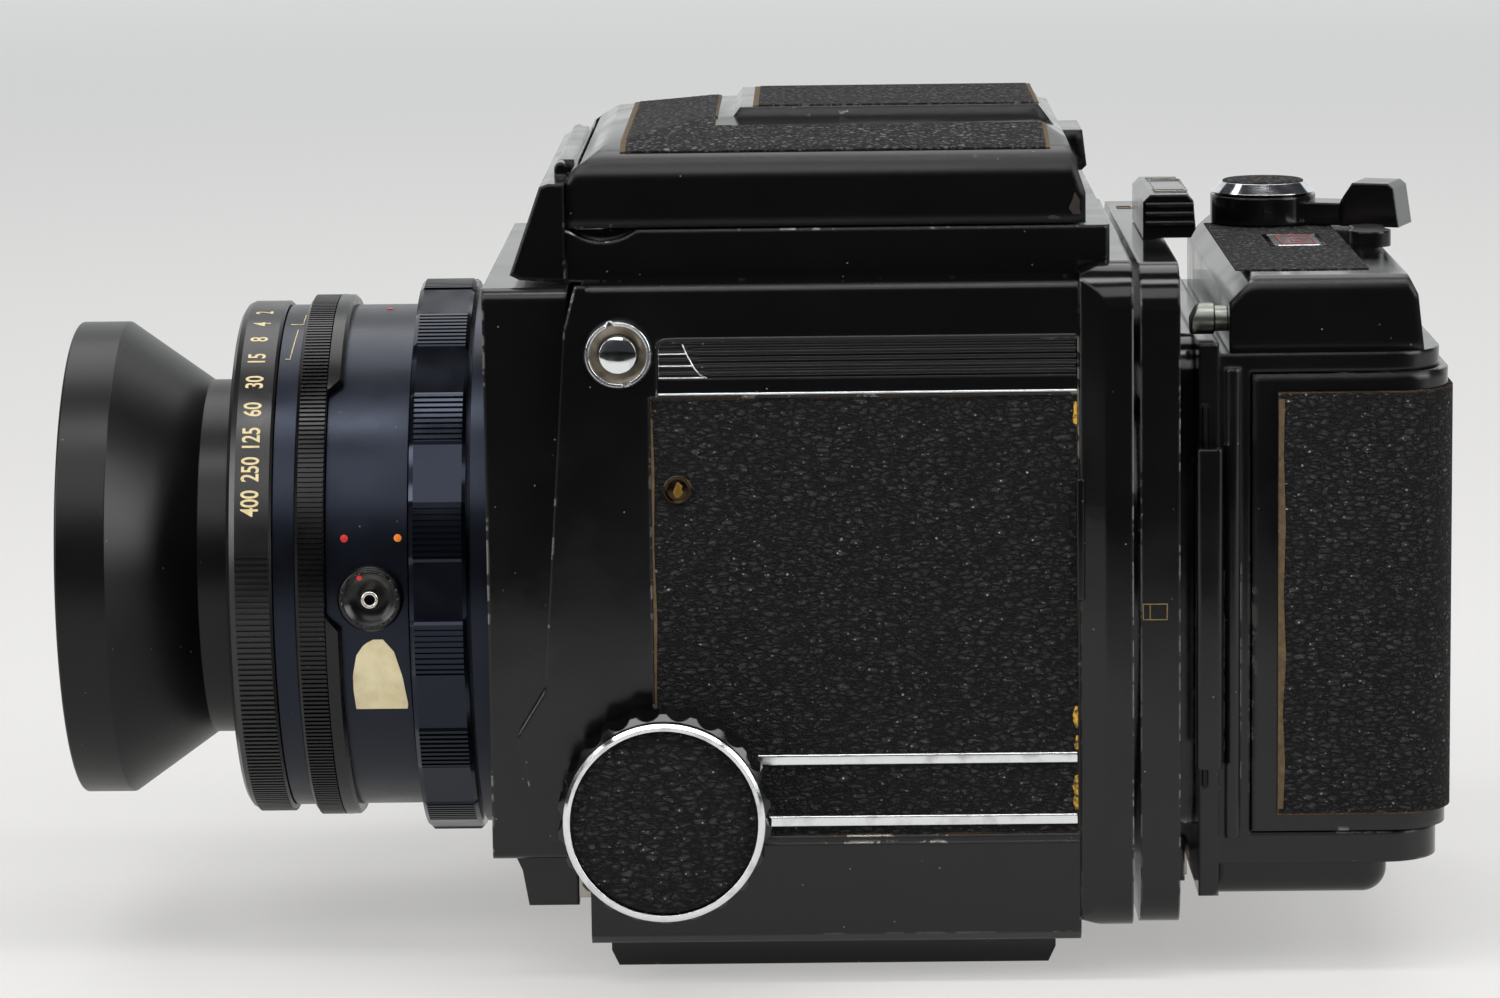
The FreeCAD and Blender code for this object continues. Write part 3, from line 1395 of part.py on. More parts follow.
# Finder base: a frame on top of the casting, and the slanted nameplate block in front of it.
def make_finder_base():
    frame = box("finder_block", (S.finder_front, S.finder_rear), (-S.finder_half, S.finder_half),
                (S.body_top, S.finder_step))
    frame = rounded("finder_corners", frame, S.edge_round,
                    runs_along("z", x=S.finder_rear, y=(S.finder_half, -S.finder_half)))
    well = box("finder_well", (S.finder_well_front, S.finder_well_rear),
               (-S.finder_well_half, S.finder_well_half), (S.body_top - 1, S.finder_step + 1))
    thumb_at = {"x": S.finder_front + S.thumb_setback, "z": S.finder_step + S.thumb_rise}
    thumb = cylinder("thumb_notch", "y", thumb_at, S.thumb_radius,
                     -S.finder_half - 1, -S.lid_half + S.lid_wall)
    rails = [box(f"wing_rail_{side}", (S.wing_front, S.wing_rear), span,
                 (S.finder_step - 1, S.leaf_level + S.leaf_thick / 2 - S.hinge_radius - S.play))
             for side, span in (("left", (-S.finder_well_half - 2, -S.finder_well_half - 0.2)),
                                ("right", (S.finder_well_half + 0.2, S.finder_well_half + 2)))]
    flap_rail = box("flap_rail", (S.flap_pivot - 0.7, S.finder_well_rear), (-S.flap_half, S.flap_half),
                    (S.finder_step - 2, S.flap_level + S.leaf_thick / 2 - S.hinge_radius - S.play))
    notch = box("adapter_notch", (S.body_rear, S.finder_rear + 1), (-S.finder_half - 1, S.finder_half + 1),
                (S.body_top - 1, S.axis_height + S.adapter_half))
    piece("finder_base", fuse("finder_frame", cut("finder_open", frame, well, thumb, notch), *rails, flap_rail))
    block = profiled("nameplate_block", "xz", [
        (S.finder_front, S.body_top),
        (S.nameplate_front + S.nameplate_toe, S.body_top + S.nameplate_toe / 4),
        (S.nameplate_front, S.body_top + S.nameplate_toe * 3 / 4),
        (S.nameplate_front + S.nameplate_lean, S.nameplate_top - 0.5),
        (S.nameplate_front + S.nameplate_lean + 1.3, S.nameplate_top),
        (S.finder_front, S.nameplate_top),
    ], -S.nameplate_half, S.nameplate_half)
    along, height = lid_pivot_along(), lid_pivot_height()
    ears = []
    inner = S.lid_barrel_half + S.play
    outer = inner + S.lid_ear_width
    for side, (low, high) in (("left", (-outer, -inner)), ("right", (inner, outer))):
        ears.append(cylinder(f"lid_ear_{side}", "y", {"x": along, "z": height}, S.lid_barrel_radius, low, high))
        ears.append(box(f"lid_ear_post_{side}", (along - S.lid_barrel_radius, along + S.lid_barrel_radius),
                        (low, high), (S.nameplate_top - 1, height)))
    ears.append(cylinder("lid_pin", "y", {"x": along, "z": height}, S.lid_pin_radius, -outer + 1, outer - 1))
    piece("finder_nameplate", fuse("nameplate_whole", block, *ears))


def lid_pivot_along():
    return S.finder_front - 1


def lid_pivot_height():
    return S.nameplate_top + S.lid_barrel_radius + S.play


# Finder lid: a crowned cover with a raised ridge, hinged at the front and lifted by the tab at its rear.
def make_lid():
    side = profiled("lid_side_view", "xz", [
        (S.finder_front + 0.2, S.finder_step + S.play),
        (S.finder_front + 0.2, S.nameplate_top + S.play),
        (S.finder_front + 1.6, S.nameplate_top + 2.2),
        (S.finder_front + S.lid_brow, S.lid_side_top + 0.8),
        (S.ridge_front - 2, S.lid_crown - 0.5),
        (S.ridge_rear - S.crown_fall, S.lid_crown),
        (S.lid_rear - 2.6, S.lid_crown - 3),
        (S.lid_rear, S.tab_bottom),
        (S.lid_rear, S.finder_step + S.play),
    ], -S.lid_half, S.lid_half)
    end = profiled("lid_end_view", "yz", [
        (-S.lid_half, S.finder_step + S.play),
        (-S.lid_half, S.lid_side_top - 3.2),
        (-S.lid_half + 1, S.lid_side_top - 0.9),
        (-S.lid_half + S.lid_eave, S.lid_side_top + 0.3),
        (-S.ridge_half, S.lid_crown - 0.4),
        (0, S.lid_crown),
        (S.ridge_half, S.lid_crown - 0.4),
        (S.lid_half - S.lid_eave, S.lid_side_top + 0.3),
        (S.lid_half - 1, S.lid_side_top - 0.9),
        (S.lid_half, S.lid_side_top - 3.2),
        (S.lid_half, S.finder_step + S.play),
    ], S.finder_front, S.lid_rear)
    shell = common("lid_form", side, end)
    hollow = box("lid_hollow", (S.finder_front + 0.2 + S.lid_wall, S.lid_rear - S.lid_wall),
                 (-S.lid_half + S.lid_wall, S.lid_half - S.lid_wall), (S.finder_step, S.lid_under))
    ridge = profiled("lid_ridge", "xz", [
        (S.ridge_front, S.lid_crown - 3),
        (S.ridge_front + 3, S.ridge_top),
        (S.ridge_rear - 1.5, S.ridge_top),
        (S.ridge_rear + 1.5, S.lid_crown - 3),
    ], -S.ridge_half, S.ridge_half)
    tab = profiled("lid_tab", "xz", [
        (S.lid_rear - 3, S.tab_top),
        (S.lid_rear + S.tab_reach - 0.7, S.tab_top),
        (S.lid_rear + S.tab_reach, S.tab_bottom + 0.8),
        (S.lid_rear + S.tab_reach - 0.8, S.tab_bottom),
        (S.lid_rear - 1, S.tab_bottom),
    ], -S.tab_half, S.tab_half)
    along, height = lid_pivot_along(), lid_pivot_height()
    barrel = cylinder("lid_barrel", "y", {"x": along, "z": height}, S.lid_barrel_radius,
                      -S.lid_barrel_half, S.lid_barrel_half)
    web = box("lid_web", (along, S.finder_front + 1), (-S.lid_barrel_half, S.lid_barrel_half),
              (height - S.lid_barrel_radius, height + S.lid_barrel_radius))
    bore = cylinder("lid_bore", "y", {"x": along, "z": height}, S.lid_pin_radius + S.running,
                    -S.lid_barrel_half - 1, S.lid_barrel_half + 1)
    pivot_bar = cylinder("magnifier_bar", "y", {"x": S.magnifier_pivot, "z": magnifier_height()},
                         S.hinge_radius, -S.magnifier_radius - 2, S.magnifier_radius + 2)
    ears = [box(f"magnifier_ear_{side}", (S.magnifier_pivot - 1.6, S.magnifier_pivot + 1.6), span,
                (magnifier_height() - 1.2, S.lid_under + 1))
            for side, span in (("left", (-S.magnifier_radius - 2, -S.magnifier_radius - 0.6)),
                               ("right", (S.magnifier_radius + 0.6, S.magnifier_radius + 2)))]
    walls = fuse("lid_walls", cut("lid_shell", shell, hollow), ridge, tab)
    hinge = cut("lid_hinge", fuse("lid_knuckle", barrel, web), bore)
    piece("finder_lid", fuse("lid", walls, hinge, pivot_bar, *ears))


def magnifier_height():
    return S.magnifier_level + S.magnifier_thick / 2


# Folding leaves under the lid: a wing on each side and a mitred flap at the rear, each on its own hinge rod.
def make_wings():
    wing = profiled("wing_leaf_left", "xy", [
        (S.wing_front, -S.wing_half),
        (S.wing_rear, -S.wing_half),
        (S.wing_rear, -S.wing_half + S.wing_height),
        (S.wing_front + S.wing_slant, -S.wing_half + S.wing_height),
    ], S.leaf_level, S.leaf_level + S.leaf_thick)
    level = S.leaf_level + S.leaf_thick / 2
    rod = cylinder("wing_rod_left", "x", {"y": -S.wing_half, "z": level}, S.hinge_radius,
                   S.wing_front, S.wing_rear)
    left = fuse("wing_left_leaf", wing, rod)
    piece("wing_left", left)
    piece("wing_right", mirrored("wing_right_leaf", left))


def make_rear_flap():
    slope = S.flap_height
    flap = profiled("flap_leaf", "xy", [
        (S.flap_pivot, -S.flap_half),
        (S.flap_pivot, S.flap_half),
        (S.flap_pivot - slope, S.flap_half - slope),
        (S.flap_pivot - slope, -S.flap_half + slope),
    ], S.flap_level, S.flap_level + S.leaf_thick)
    rod = cylinder("flap_rod", "y", {"x": S.flap_pivot, "z": S.flap_level + S.leaf_thick / 2}, S.hinge_radius,
                   -S.flap_half, S.flap_half)
    piece("rear_flap", fuse("flap", flap, rod))


def make_magnifier():
    centre = {"x": S.magnifier_pivot - S.magnifier_reach, "y": 0}
    low, high = S.magnifier_level, S.magnifier_level + S.magnifier_thick
    ring = cylinder("magnifier_ring", "z", centre, S.magnifier_radius, low, high)
    arm_half = S.magnifier_radius - S.magnifier_arm_inset
    arm = box("magnifier_arm", (S.magnifier_pivot - S.magnifier_reach / 2, S.magnifier_pivot + 1.2),
              (-arm_half, arm_half), (low, high))
    hole = cylinder("magnifier_hole", "z", centre, S.magnifier_glass, low - 1, high + 1)
    bore = cylinder("magnifier_bore", "y", {"x": S.magnifier_pivot, "z": magnifier_height()},
                    S.hinge_radius + S.running, -S.magnifier_radius, S.magnifier_radius)
    piece("magnifier_frame", cut("magnifier_cut", fuse("magnifier_blank", ring, arm), hole, bore))
    edge = S.magnifier_glass - S.running
    piece("magnifier_lens", turned("magnifier_glass_turning", "z", centre, [
        (low + 0.2, 0),
        (low + 0.5, edge),
        (high - 0.5, edge),
        (high - 0.2, 0),
    ]))


# Revolving adapter: a fixed plate on the rear of the body, and a plate that turns in it on a round hub.
def square_plate(name, along, half, corner):
    """A square plate about the lens axis with rounded corners."""
    plate = box(name, along, (-half, half), (S.axis_height - half, S.axis_height + half))
    return rounded(name + "_corners", plate, corner, runs_along("x"))


def make_adapter():
    square = square_plate("adapter_slab", (S.body_rear, S.adapter_rear), S.adapter_half, S.adapter_round)
    bevel = doc.addObject("Part::Wedge", "adapter_bevel")
    ends = ((S.adapter_bevel_inset, ("Xmin", "Zmin"), ("Xmax", "Zmax")),
            (-S.adapter_depth * S.adapter_bevel_inset / S.adapter_bevel_depth + S.adapter_bevel_inset,
             ("X2min", "Z2min"), ("X2max", "Z2max")))
    for inset, lows, highs in ends:
        for prop in lows:
            bind(bevel, prop, inset - S.adapter_half)
        for prop in highs:
            bind(bevel, prop, S.adapter_half - inset)
    bind(bevel, "Ymin", 0)
    bind(bevel, "Ymax", S.adapter_depth)
    bevel.Placement = Placement(Vector(), Rotation(Vector(0, 0, 1), -90))
    place(bevel, {"x": S.body_rear, "z": S.axis_height})
    plate = common("adapter_plate_form", square, bevel)
    at = {"y": 0, "z": S.axis_height}
    bore = cylinder("adapter_bore", "x", at, S.adapter_bore, S.body_rear - 1, S.adapter_rear + 1)
    seat = cylinder("hub_seat", "x", at, S.hub_outer + S.running, S.hub_front, S.adapter_rear + 1)
    piece("adapter_plate", cut("adapter_cut", plate, bore, seat))


def make_revolving_plate():
    at = {"y": 0, "z": S.axis_height}
    plate = square_plate("plate_slab", (S.plate_front, S.plate_rear), S.plate_half, S.adapter_round)
    hub = cylinder("plate_hub", "x", at, S.hub_outer, S.hub_front + S.play, S.plate_front + 1)
    foot_half = S.lower_lock_half + S.foot_overhang
    foot = box("plate_foot", (S.plate_rear - 1, S.lower_lock_rear), (-foot_half, foot_half),
               (S.lower_lock_bottom + 0.2, S.lower_lock_top - 1))
    gate = box("plate_gate", (S.hub_front - 1, S.lower_lock_rear + 1), (-S.gate_half_width, S.gate_half_width),
               (S.axis_height - S.gate_half_height, S.axis_height + S.gate_half_height))
    inner_bore = cylinder("plate_light_bore", "x", at, S.adapter_bore - 1.5, S.hub_front - 1, S.plate_front)
    piece("revolving_plate", cut("plate_cut", fuse("plate_blank", plate, hub, foot), gate, inner_bore))


def make_slide_locks():
    top = S.axis_height + S.plate_half + S.play
    block = profiled("upper_lock_block", "xz", [
        (S.upper_lock_front, top),
        (S.upper_lock_rear - 0.8, top),
        (S.upper_lock_rear, top + 1.4),
        (S.upper_lock_rear - 0.4, S.upper_lock_top - 1),
        (S.upper_lock_rear - 1.4, S.upper_lock_top),
        (S.upper_lock_front + 1.2, S.upper_lock_top),
        (S.upper_lock_front, S.upper_lock_top - 1.2),
    ], -S.upper_lock_half, S.upper_lock_half)
    ribs = []
    for row in range(1, 4):
        near = S.upper_lock_half - S.lock_rib_pitch * row
        for side, low in (("near", -near), ("far", near - S.lock_rib_pitch / 2)):
            ribs.append(box(f"lock_rib_{side}_{row}", (S.upper_lock_front + 2, S.upper_lock_rear + 1),
                            (low, low + S.lock_rib_pitch / 2),
                            (S.upper_lock_top - S.lock_rib_depth, S.upper_lock_top + 1)))
    piece("upper_slide_lock", cut("upper_lock_cut", block, *ribs))
    blade = box("lower_lock_blade", (S.plate_rear + 0.4, S.lower_lock_rear - 0.4),
                (-S.lower_lock_half, S.lower_lock_half), (S.lower_lock_bottom - 1.6, S.lower_lock_bottom - 0.1))
    lip = box("lower_lock_lip", (S.lower_lock_rear + S.play, S.lower_lock_rear + S.play + 0.9),
              (-S.lower_lock_half, S.lower_lock_half),
              (S.lower_lock_bottom - 1.6, S.bottom_height + S.wall_foot_rise - S.play))
    bridge = box("lower_lock_bridge", (S.lower_lock_rear - 1, S.lower_lock_rear + S.play + 0.9),
                 (-S.lower_lock_half, S.lower_lock_half),
                 (S.lower_lock_bottom - 1.6, S.lower_lock_bottom - 0.1))
    piece("lower_slide_lock", fuse("lower_lock", blade, lip, bridge))


# Magazine frame: the light-tight front with the film gate and the dark slide's slot, and the wall on the far
# side.
def make_magazine_frame():
    level = S.axis_height
    front = box("magazine_wall", (S.magazine_front, S.gate_rear), (-S.magazine_half, S.magazine_half),
                (S.bottom_height + S.wall_foot_rise, S.latch_height - S.latch_under))
    seat = square_plate("magazine_seat", (S.seat_front, S.magazine_front + 0.5), S.seat_half, S.adapter_round)
    ends = []
    for name, low, high in (("floor", film_floor() - S.floor_thick, film_floor()),
                            ("roof", film_roof(), film_roof() + S.roof_thick)):
        end = box(f"magazine_{name}", (S.gate_rear - 0.5, S.end_rear),
                  (-S.magazine_half + S.play, S.magazine_half), (low, high))
        ends.append(rounded(f"magazine_{name}_round", end, S.door_round,
                            runs_along("z", x=S.end_rear, y=-S.magazine_half + S.play)))
    pin = cylinder("hinge_pin", "z", {"x": S.door_pin_along, "y": S.door_pin_side}, S.door_pin_radius,
                   film_floor() - 1, film_roof() + 1)
    spindle = cylinder("roof_bore", "z", {"x": S.wind_along, "y": S.wind_side}, S.spindle_radius + S.running,
                       film_roof() - 1, film_roof() + S.roof_thick + 1)
    near_post = box("magazine_near_post", (S.gate_rear - 0.5, S.frame_rear),
                    (-S.magazine_half + S.play, -S.magazine_half + 3), (S.door_bottom - 1, S.door_top + 1))
    column_at = {"x": S.gate_rear + S.column_setback, "y": -S.magazine_half + S.column_inset}
    column = cylinder("magazine_column", "z", column_at, S.column_radius, S.door_bottom - 1, S.door_top + 1)
    far_wall = box("magazine_far_wall", (S.gate_rear - 0.5, S.door_pin_along - S.door_knuckle - S.play),
                   (S.magazine_half - S.door_wall, S.magazine_half), (S.door_bottom - 1, S.door_top + 1))
    film = box("film_gate", (S.seat_front - 1, S.gate_rear + 1), (-S.film_half_width, S.film_half_width),
               (level - S.film_half_height, level + S.film_half_height))
    slot = box("slide_slot", (S.slide_front - S.running, S.slide_front + S.slide_thick + S.running),
               (-S.magazine_half - 1, S.slide_tip + S.play),
               (level - S.slide_half - S.running, level + S.slide_half + S.running))
    blank = fuse("magazine_blank", front, seat, *ends, near_post, column, far_wall)
    piece("magazine_frame", fuse("magazine_body", cut("magazine_cut", blank, film, slot, spindle), pin))


def film_floor():
    return S.door_bottom - S.play


def film_roof():
    return S.door_top + S.play


def make_dark_slide():
    level = S.axis_height
    piece("dark_slide", box("slide_sheet", (S.slide_front, S.slide_front + S.slide_thick),
                            (-S.magazine_half - S.play, S.slide_tip),
                            (level - S.slide_half, level + S.slide_half)))
    near = -S.magazine_half - S.play
    grip = box("slide_grip", (S.handle_front, S.handle_rear), (near - S.handle_reach, near),
               (S.handle_bottom, S.handle_top))
    piece("dark_slide_handle", rounded("slide_grip_round", grip, 0.8, runs_along("z", y=near - S.handle_reach)))


def make_magazine_covers():
    """The housings above and below the film: glossy covers with a slanted front and rounded rear corners."""
    base = film_roof() + S.roof_thick
    top = profiled("top_profile", "xz", [
        (S.top_front, base),
        (S.top_front, S.top_height - S.top_slope),
        (S.top_front + S.top_slope, S.top_height),
        (S.top_rear - 1.5, S.top_height),
        (S.top_rear, S.top_height - 3),
        (S.top_rear + 1, base),
    ], -S.top_half, S.top_half)
    top = rounded("top_round", top, S.top_round,
                  runs_along("x", y=(S.top_half, -S.top_half), z=S.top_height))
    at = {"x": S.wind_along, "y": S.wind_side}
    spindle = cylinder("spindle_bore", "z", at, S.spindle_radius + S.running, base - 1, S.top_height + 1)
    window = box("counter_window",
                 (S.window_along - S.window_half_along, S.window_along + S.window_half_along),
                 (S.window_side - S.window_half_side, S.window_side + S.window_half_side),
                 (S.top_height - S.dial_depth - 0.5, S.top_height + 1))
    dial_room = cylinder("dial_room", "z", {"x": S.window_along, "y": dial_side()}, S.dial_radius + S.play,
                         base - 1, S.top_height - S.dial_depth + S.play)
    piece("magazine_top", cut("top_cut", top, spindle, window, dial_room))
    bottom = box("bottom_block", (S.bottom_front, S.bottom_rear), (-S.bottom_half, S.bottom_half),
                 (S.bottom_height, film_floor() - S.floor_thick))
    bottom = rounded("bottom_round", bottom, S.bottom_round, lambda edge: (
        runs_along("y", x=S.bottom_rear, z=S.bottom_height)(edge)
        or runs_along("z", x=S.bottom_rear, y=(S.bottom_half, -S.bottom_half))(edge)
        or runs_along("x", y=(S.bottom_half, -S.bottom_half), z=S.bottom_height)(edge)))
    piece("magazine_bottom", bottom)


def dial_side():
    return S.window_side


# Magazine door: the back and the near side in one bent shell, hinged on a pin at the far rear corner.
def make_door():
    near, far = -S.magazine_half, S.door_pin_side
    wall = S.door_wall
    shell = box("door_block", (S.frame_rear + S.play, S.door_rear), (near, far), (S.door_bottom, S.door_top))
    shell = rounded("door_corner", shell, S.door_round, runs_along("z", x=S.door_rear, y=near))
    hollow = box("door_hollow", (S.frame_rear - 1, S.door_rear - wall), (near + wall, far + 1),
                 (S.door_bottom - 1, S.door_top + 1))
    hollow = rounded("door_hollow_corner", hollow, S.door_round - wall,
                     lambda edge: runs_along("z", x=S.door_rear - wall)(edge) and edge.CenterOfMass.y < 0)
    back = cut("door_shell", shell, hollow)
    at = {"x": S.door_pin_along, "y": S.door_pin_side}
    knuckle = cylinder("door_knuckle", "z", at, S.door_knuckle, S.door_bottom, S.door_top)
    bridge = box("door_bridge", (S.door_pin_along, S.door_rear),
                 (S.door_pin_side - S.door_bridge_width, S.door_pin_side), (S.door_bottom, S.door_top))
    low_tab = (S.axis_height - S.memo_low_drop, S.axis_height - S.memo_low_drop + S.memo_low_height)
    high_tab = (S.axis_height + S.memo_high_rise, S.axis_height + S.memo_high_rise + S.memo_high_height)
    tabs = [box(f"memo_tab_{row}", (S.door_rear - 0.5, S.door_rear + S.memo_reach),
                (-S.memo_half, S.memo_half), span)
            for row, span in enumerate((low_tab, high_tab))]
    bore = cylinder("door_bore", "z", at, S.door_pin_radius + S.running, S.door_bottom - 1, S.door_top + 1)
    piece("magazine_door", cut("door_bored", fuse("door_whole", back, knuckle, bridge, *tabs), bore))
    thick = S.cover_thick
    outer = box("cover_block", (S.cover_front, S.door_rear + thick), (near - thick, S.cover_far),
                (S.cover_bottom, S.cover_top))
    outer = rounded("cover_corner", outer, S.door_round + thick,
                    lambda edge: runs_along("z", x=S.door_rear + thick)(edge) and edge.CenterOfMass.y < 0)
    inner = box("cover_inner", (S.cover_front - 1, S.door_rear), (near, S.cover_far + 1),
                (S.cover_bottom - 1, S.cover_top + 1))
    inner = rounded("cover_inner_corner", inner, S.door_round,
                    lambda edge: runs_along("z", x=S.door_rear)(edge) and edge.CenterOfMass.y < 0)
    holes = [box(f"memo_hole_{row}", (S.door_rear - 1, S.door_rear + thick + 1),
                 (-S.memo_half - S.running, S.memo_half + S.running),
                 (span[0] - S.running, span[1] + S.running))
             for row, span in enumerate((low_tab, high_tab))]
    piece("door_leather", cut("cover_sheet", outer, inner, *holes))


# Film path: the pressure plate behind the gate, and the two spools, the far one on the wind spindle.
def make_film_path():
    level = S.axis_height
    start = S.gate_rear + S.plate_gap
    piece("pressure_plate", box("film_plate", (start, start + S.plate_thick),
                                (-S.film_half_width - 1, S.film_half_width + 1),
                                (level - S.film_half_height - 2, level + S.film_half_height + 2)))
    for name, along, side in (("takeup_spool", S.wind_along, S.wind_side),
                              ("supply_spool", S.supply_along, S.supply_side)):
        half = S.spool_half
        inner = half - S.spool_flange_thick
        floor = S.door_bottom - level
        piece(name, turned(name + "_turning", "z", {"x": along, "y": side, "z": level}, [
            (floor, 0),
            (floor, S.spindle_radius),
            (-half, S.spindle_radius),
            (-half, S.spool_flange),
            (-inner, S.spool_flange),
            (-inner, S.spool_core),
            (inner, S.spool_core),
            (inner, S.spool_flange),
            (half, S.spool_flange),
            (half, S.spindle_radius),
            (S.door_top - level, S.spindle_radius),
            (S.door_top - level, 0),
        ]))


# Wind lever on its spindle, with the bright cap; the counter dial under its window; the exposure lever.
def make_wind():
    at = {"x": S.wind_along, "y": S.wind_side}
    hub = cylinder("lever_hub", "z", at, S.lever_hub, S.lever_bottom, S.lever_hub_top)
    spindle = cylinder("lever_spindle", "z", at, S.spindle_radius, S.door_top + S.play, S.lever_bottom + 1)
    arm = box("lever_arm", (0, S.lever_reach - 2), (-S.lever_arm_half, S.lever_arm_half),
              (S.lever_bottom, S.lever_arm_top))
    tip = profiled("lever_tip", "xz", [
        (S.lever_tip_back, S.lever_bottom),
        (S.lever_reach + 1, S.lever_bottom),
        (S.lever_reach, S.lever_tip_top - 0.8),
        (S.lever_reach - 1, S.lever_tip_top),
        (S.lever_tip_back + 2.4, S.lever_tip_top),
        (S.lever_tip_back, S.lever_arm_top),
    ], -S.lever_tip_half, S.lever_tip_half)
    tip = rounded("lever_tip_round", tip, 1.2, runs_along("z", y=(S.lever_tip_half, -S.lever_tip_half)))
    handle = fuse("lever_handle", arm, tip)
    handle.Placement = Placement(Vector(), Rotation(Vector(0, 0, 1), S.lever_turn.value))
    bind(handle, "Placement.Rotation.Angle", S.lever_turn)
    place(handle, at)
    piece("wind_lever", fuse("lever_whole", hub, spindle, handle))
    piece("wind_cap", turned("cap", "z", at, [
        (S.lever_hub_top, 0),
        (S.lever_hub_top, S.cap_radius - 0.6),
        (S.lever_hub_top + 0.5, S.cap_radius),
        (S.lever_hub_top + S.cap_height, S.cap_radius - 1.6),
        (S.lever_hub_top + S.cap_height, S.cap_radius - 2.2),
        (S.lever_hub_top + S.cap_height - 0.4, S.cap_radius - 2.2),
        (S.lever_hub_top + S.cap_height - 0.4, 0),
    ]))


def make_counter():
    top = S.top_height - S.dial_depth
    at = {"x": S.window_along, "y": dial_side()}
    base = film_roof() + S.roof_thick
    dial = cylinder("dial_disc", "z", at, S.dial_radius, top - S.dial_thick, top)
    stem = cylinder("dial_stem", "z", at, S.spindle_radius / 2, base + S.play, top)
    piece("counter_dial", fuse("dial", dial, stem))


def make_exposure_lever():
    at = {"x": S.exposure_along, "y": S.exposure_side}
    low = S.top_height + S.play
    boss = cylinder("exposure_boss", "z", at, S.exposure_radius, low, low + S.exposure_thick)
    half = S.exposure_radius * 0.8
    arm = box("exposure_arm", (S.exposure_along - half, S.exposure_along + half),
              (S.exposure_side, S.exposure_side + S.exposure_reach), (low, low + S.exposure_thick))
    arm = rounded("exposure_arm_round", arm, S.exposure_radius * 0.7,
                  runs_along("z", y=S.exposure_side + S.exposure_reach))
    piece("exposure_lever", fuse("exposure", boss, arm))


def make_latch_pin():
    at = {"y": -S.latch_side, "z": S.latch_height}
    piece("latch_pin", turned("latch", "x", at, [
        (S.latch_front, 0),
        (S.latch_front, S.latch_radius - 0.4),
        (S.latch_front + 0.4, S.latch_radius),
        (S.top_front, S.latch_radius),
        (S.top_front, 0),
    ]))


# Shutter release with its lock collar low on the front, and the cocking lever on the right hand side.
def make_release():
    at = {"y": S.release_side, "z": S.release_height}
    front = S.body_front
    piece("release_button", cylinder("button", "x", at, S.release_radius,
                                     front - S.collar_thick - S.release_proud, front + 1))
    ring = cylinder("collar_ring", "x", at, S.collar_outer, front - S.play - S.collar_thick, front - S.play)
    tab = box("collar_tab", (front - S.play - S.collar_thick, front - S.play),
              (S.release_side + S.collar_outer - 1, S.release_side + S.collar_outer + 1.4),
              (S.release_height - 1, S.release_height + 1))
    bore = cylinder("collar_bore", "x", at, S.release_radius + S.running,
                    front - S.collar_thick - 2, front + 1)
    piece("release_collar", cut("collar", fuse("collar_blank", ring, tab), bore))


def make_cocking_lever():
    at = {"x": S.cocking_along, "z": S.cocking_height}
    low = S.side_half + S.play
    high = low + S.cocking_thick
    boss = cylinder("cocking_boss", "y", at, S.cocking_boss, low, high)
    arm = box("cocking_arm", (S.cocking_along, S.cocking_along + S.cocking_reach), (low, high),
              (S.cocking_height - S.cocking_half, S.cocking_height + S.cocking_half))
    pad = cylinder("cocking_pad", "y", {"x": S.cocking_along + S.cocking_reach, "z": S.cocking_height},
                   S.cocking_pad, low, high + S.cocking_pad_rise)
    piece("cocking_lever", fuse("cocking", boss, arm, pad))


make_casting()
make_lower_casing()
make_base()
make_side_panels()
make_lugs()
make_focus_racks()
make_focus_shaft()
make_knobs()
make_focus_lock()
make_standard()
make_bellows()
make_flange()
make_breech_ring()
make_barrel()
make_lens_rings()
make_lens_inside()
make_blades()
make_hood()
make_mirror()
make_screen()
make_finder_base()
make_lid()
make_wings()
make_rear_flap()
make_magnifier()
make_adapter()
make_revolving_plate()
make_slide_locks()
make_magazine_frame()
make_dark_slide()
make_magazine_covers()
make_door()
make_film_path()
make_wind()
make_counter()
make_exposure_lever()
make_latch_pin()
make_release()
make_cocking_lever()
doc.recompute()

for thing in doc.Objects:
    if {"Invalid", "Error"} & set(thing.State):
        raise RuntimeError(f"{thing.Name} failed: {thing.State}")

os.makedirs("parts", exist_ok=True)
for node in nodes:
    if node.Shape.isNull() or not node.Shape.isValid():
        raise RuntimeError(f"{node.Label} has no valid shape")
    print(f"{node.Label}: {len(node.Shape.Solids)} solid(s), {node.Shape.Volume:.0f} mm3")
for node in nodes:
    node.Shape.exportStep(f"parts/{node.Label}.step")
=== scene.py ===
import math
from functools import partial

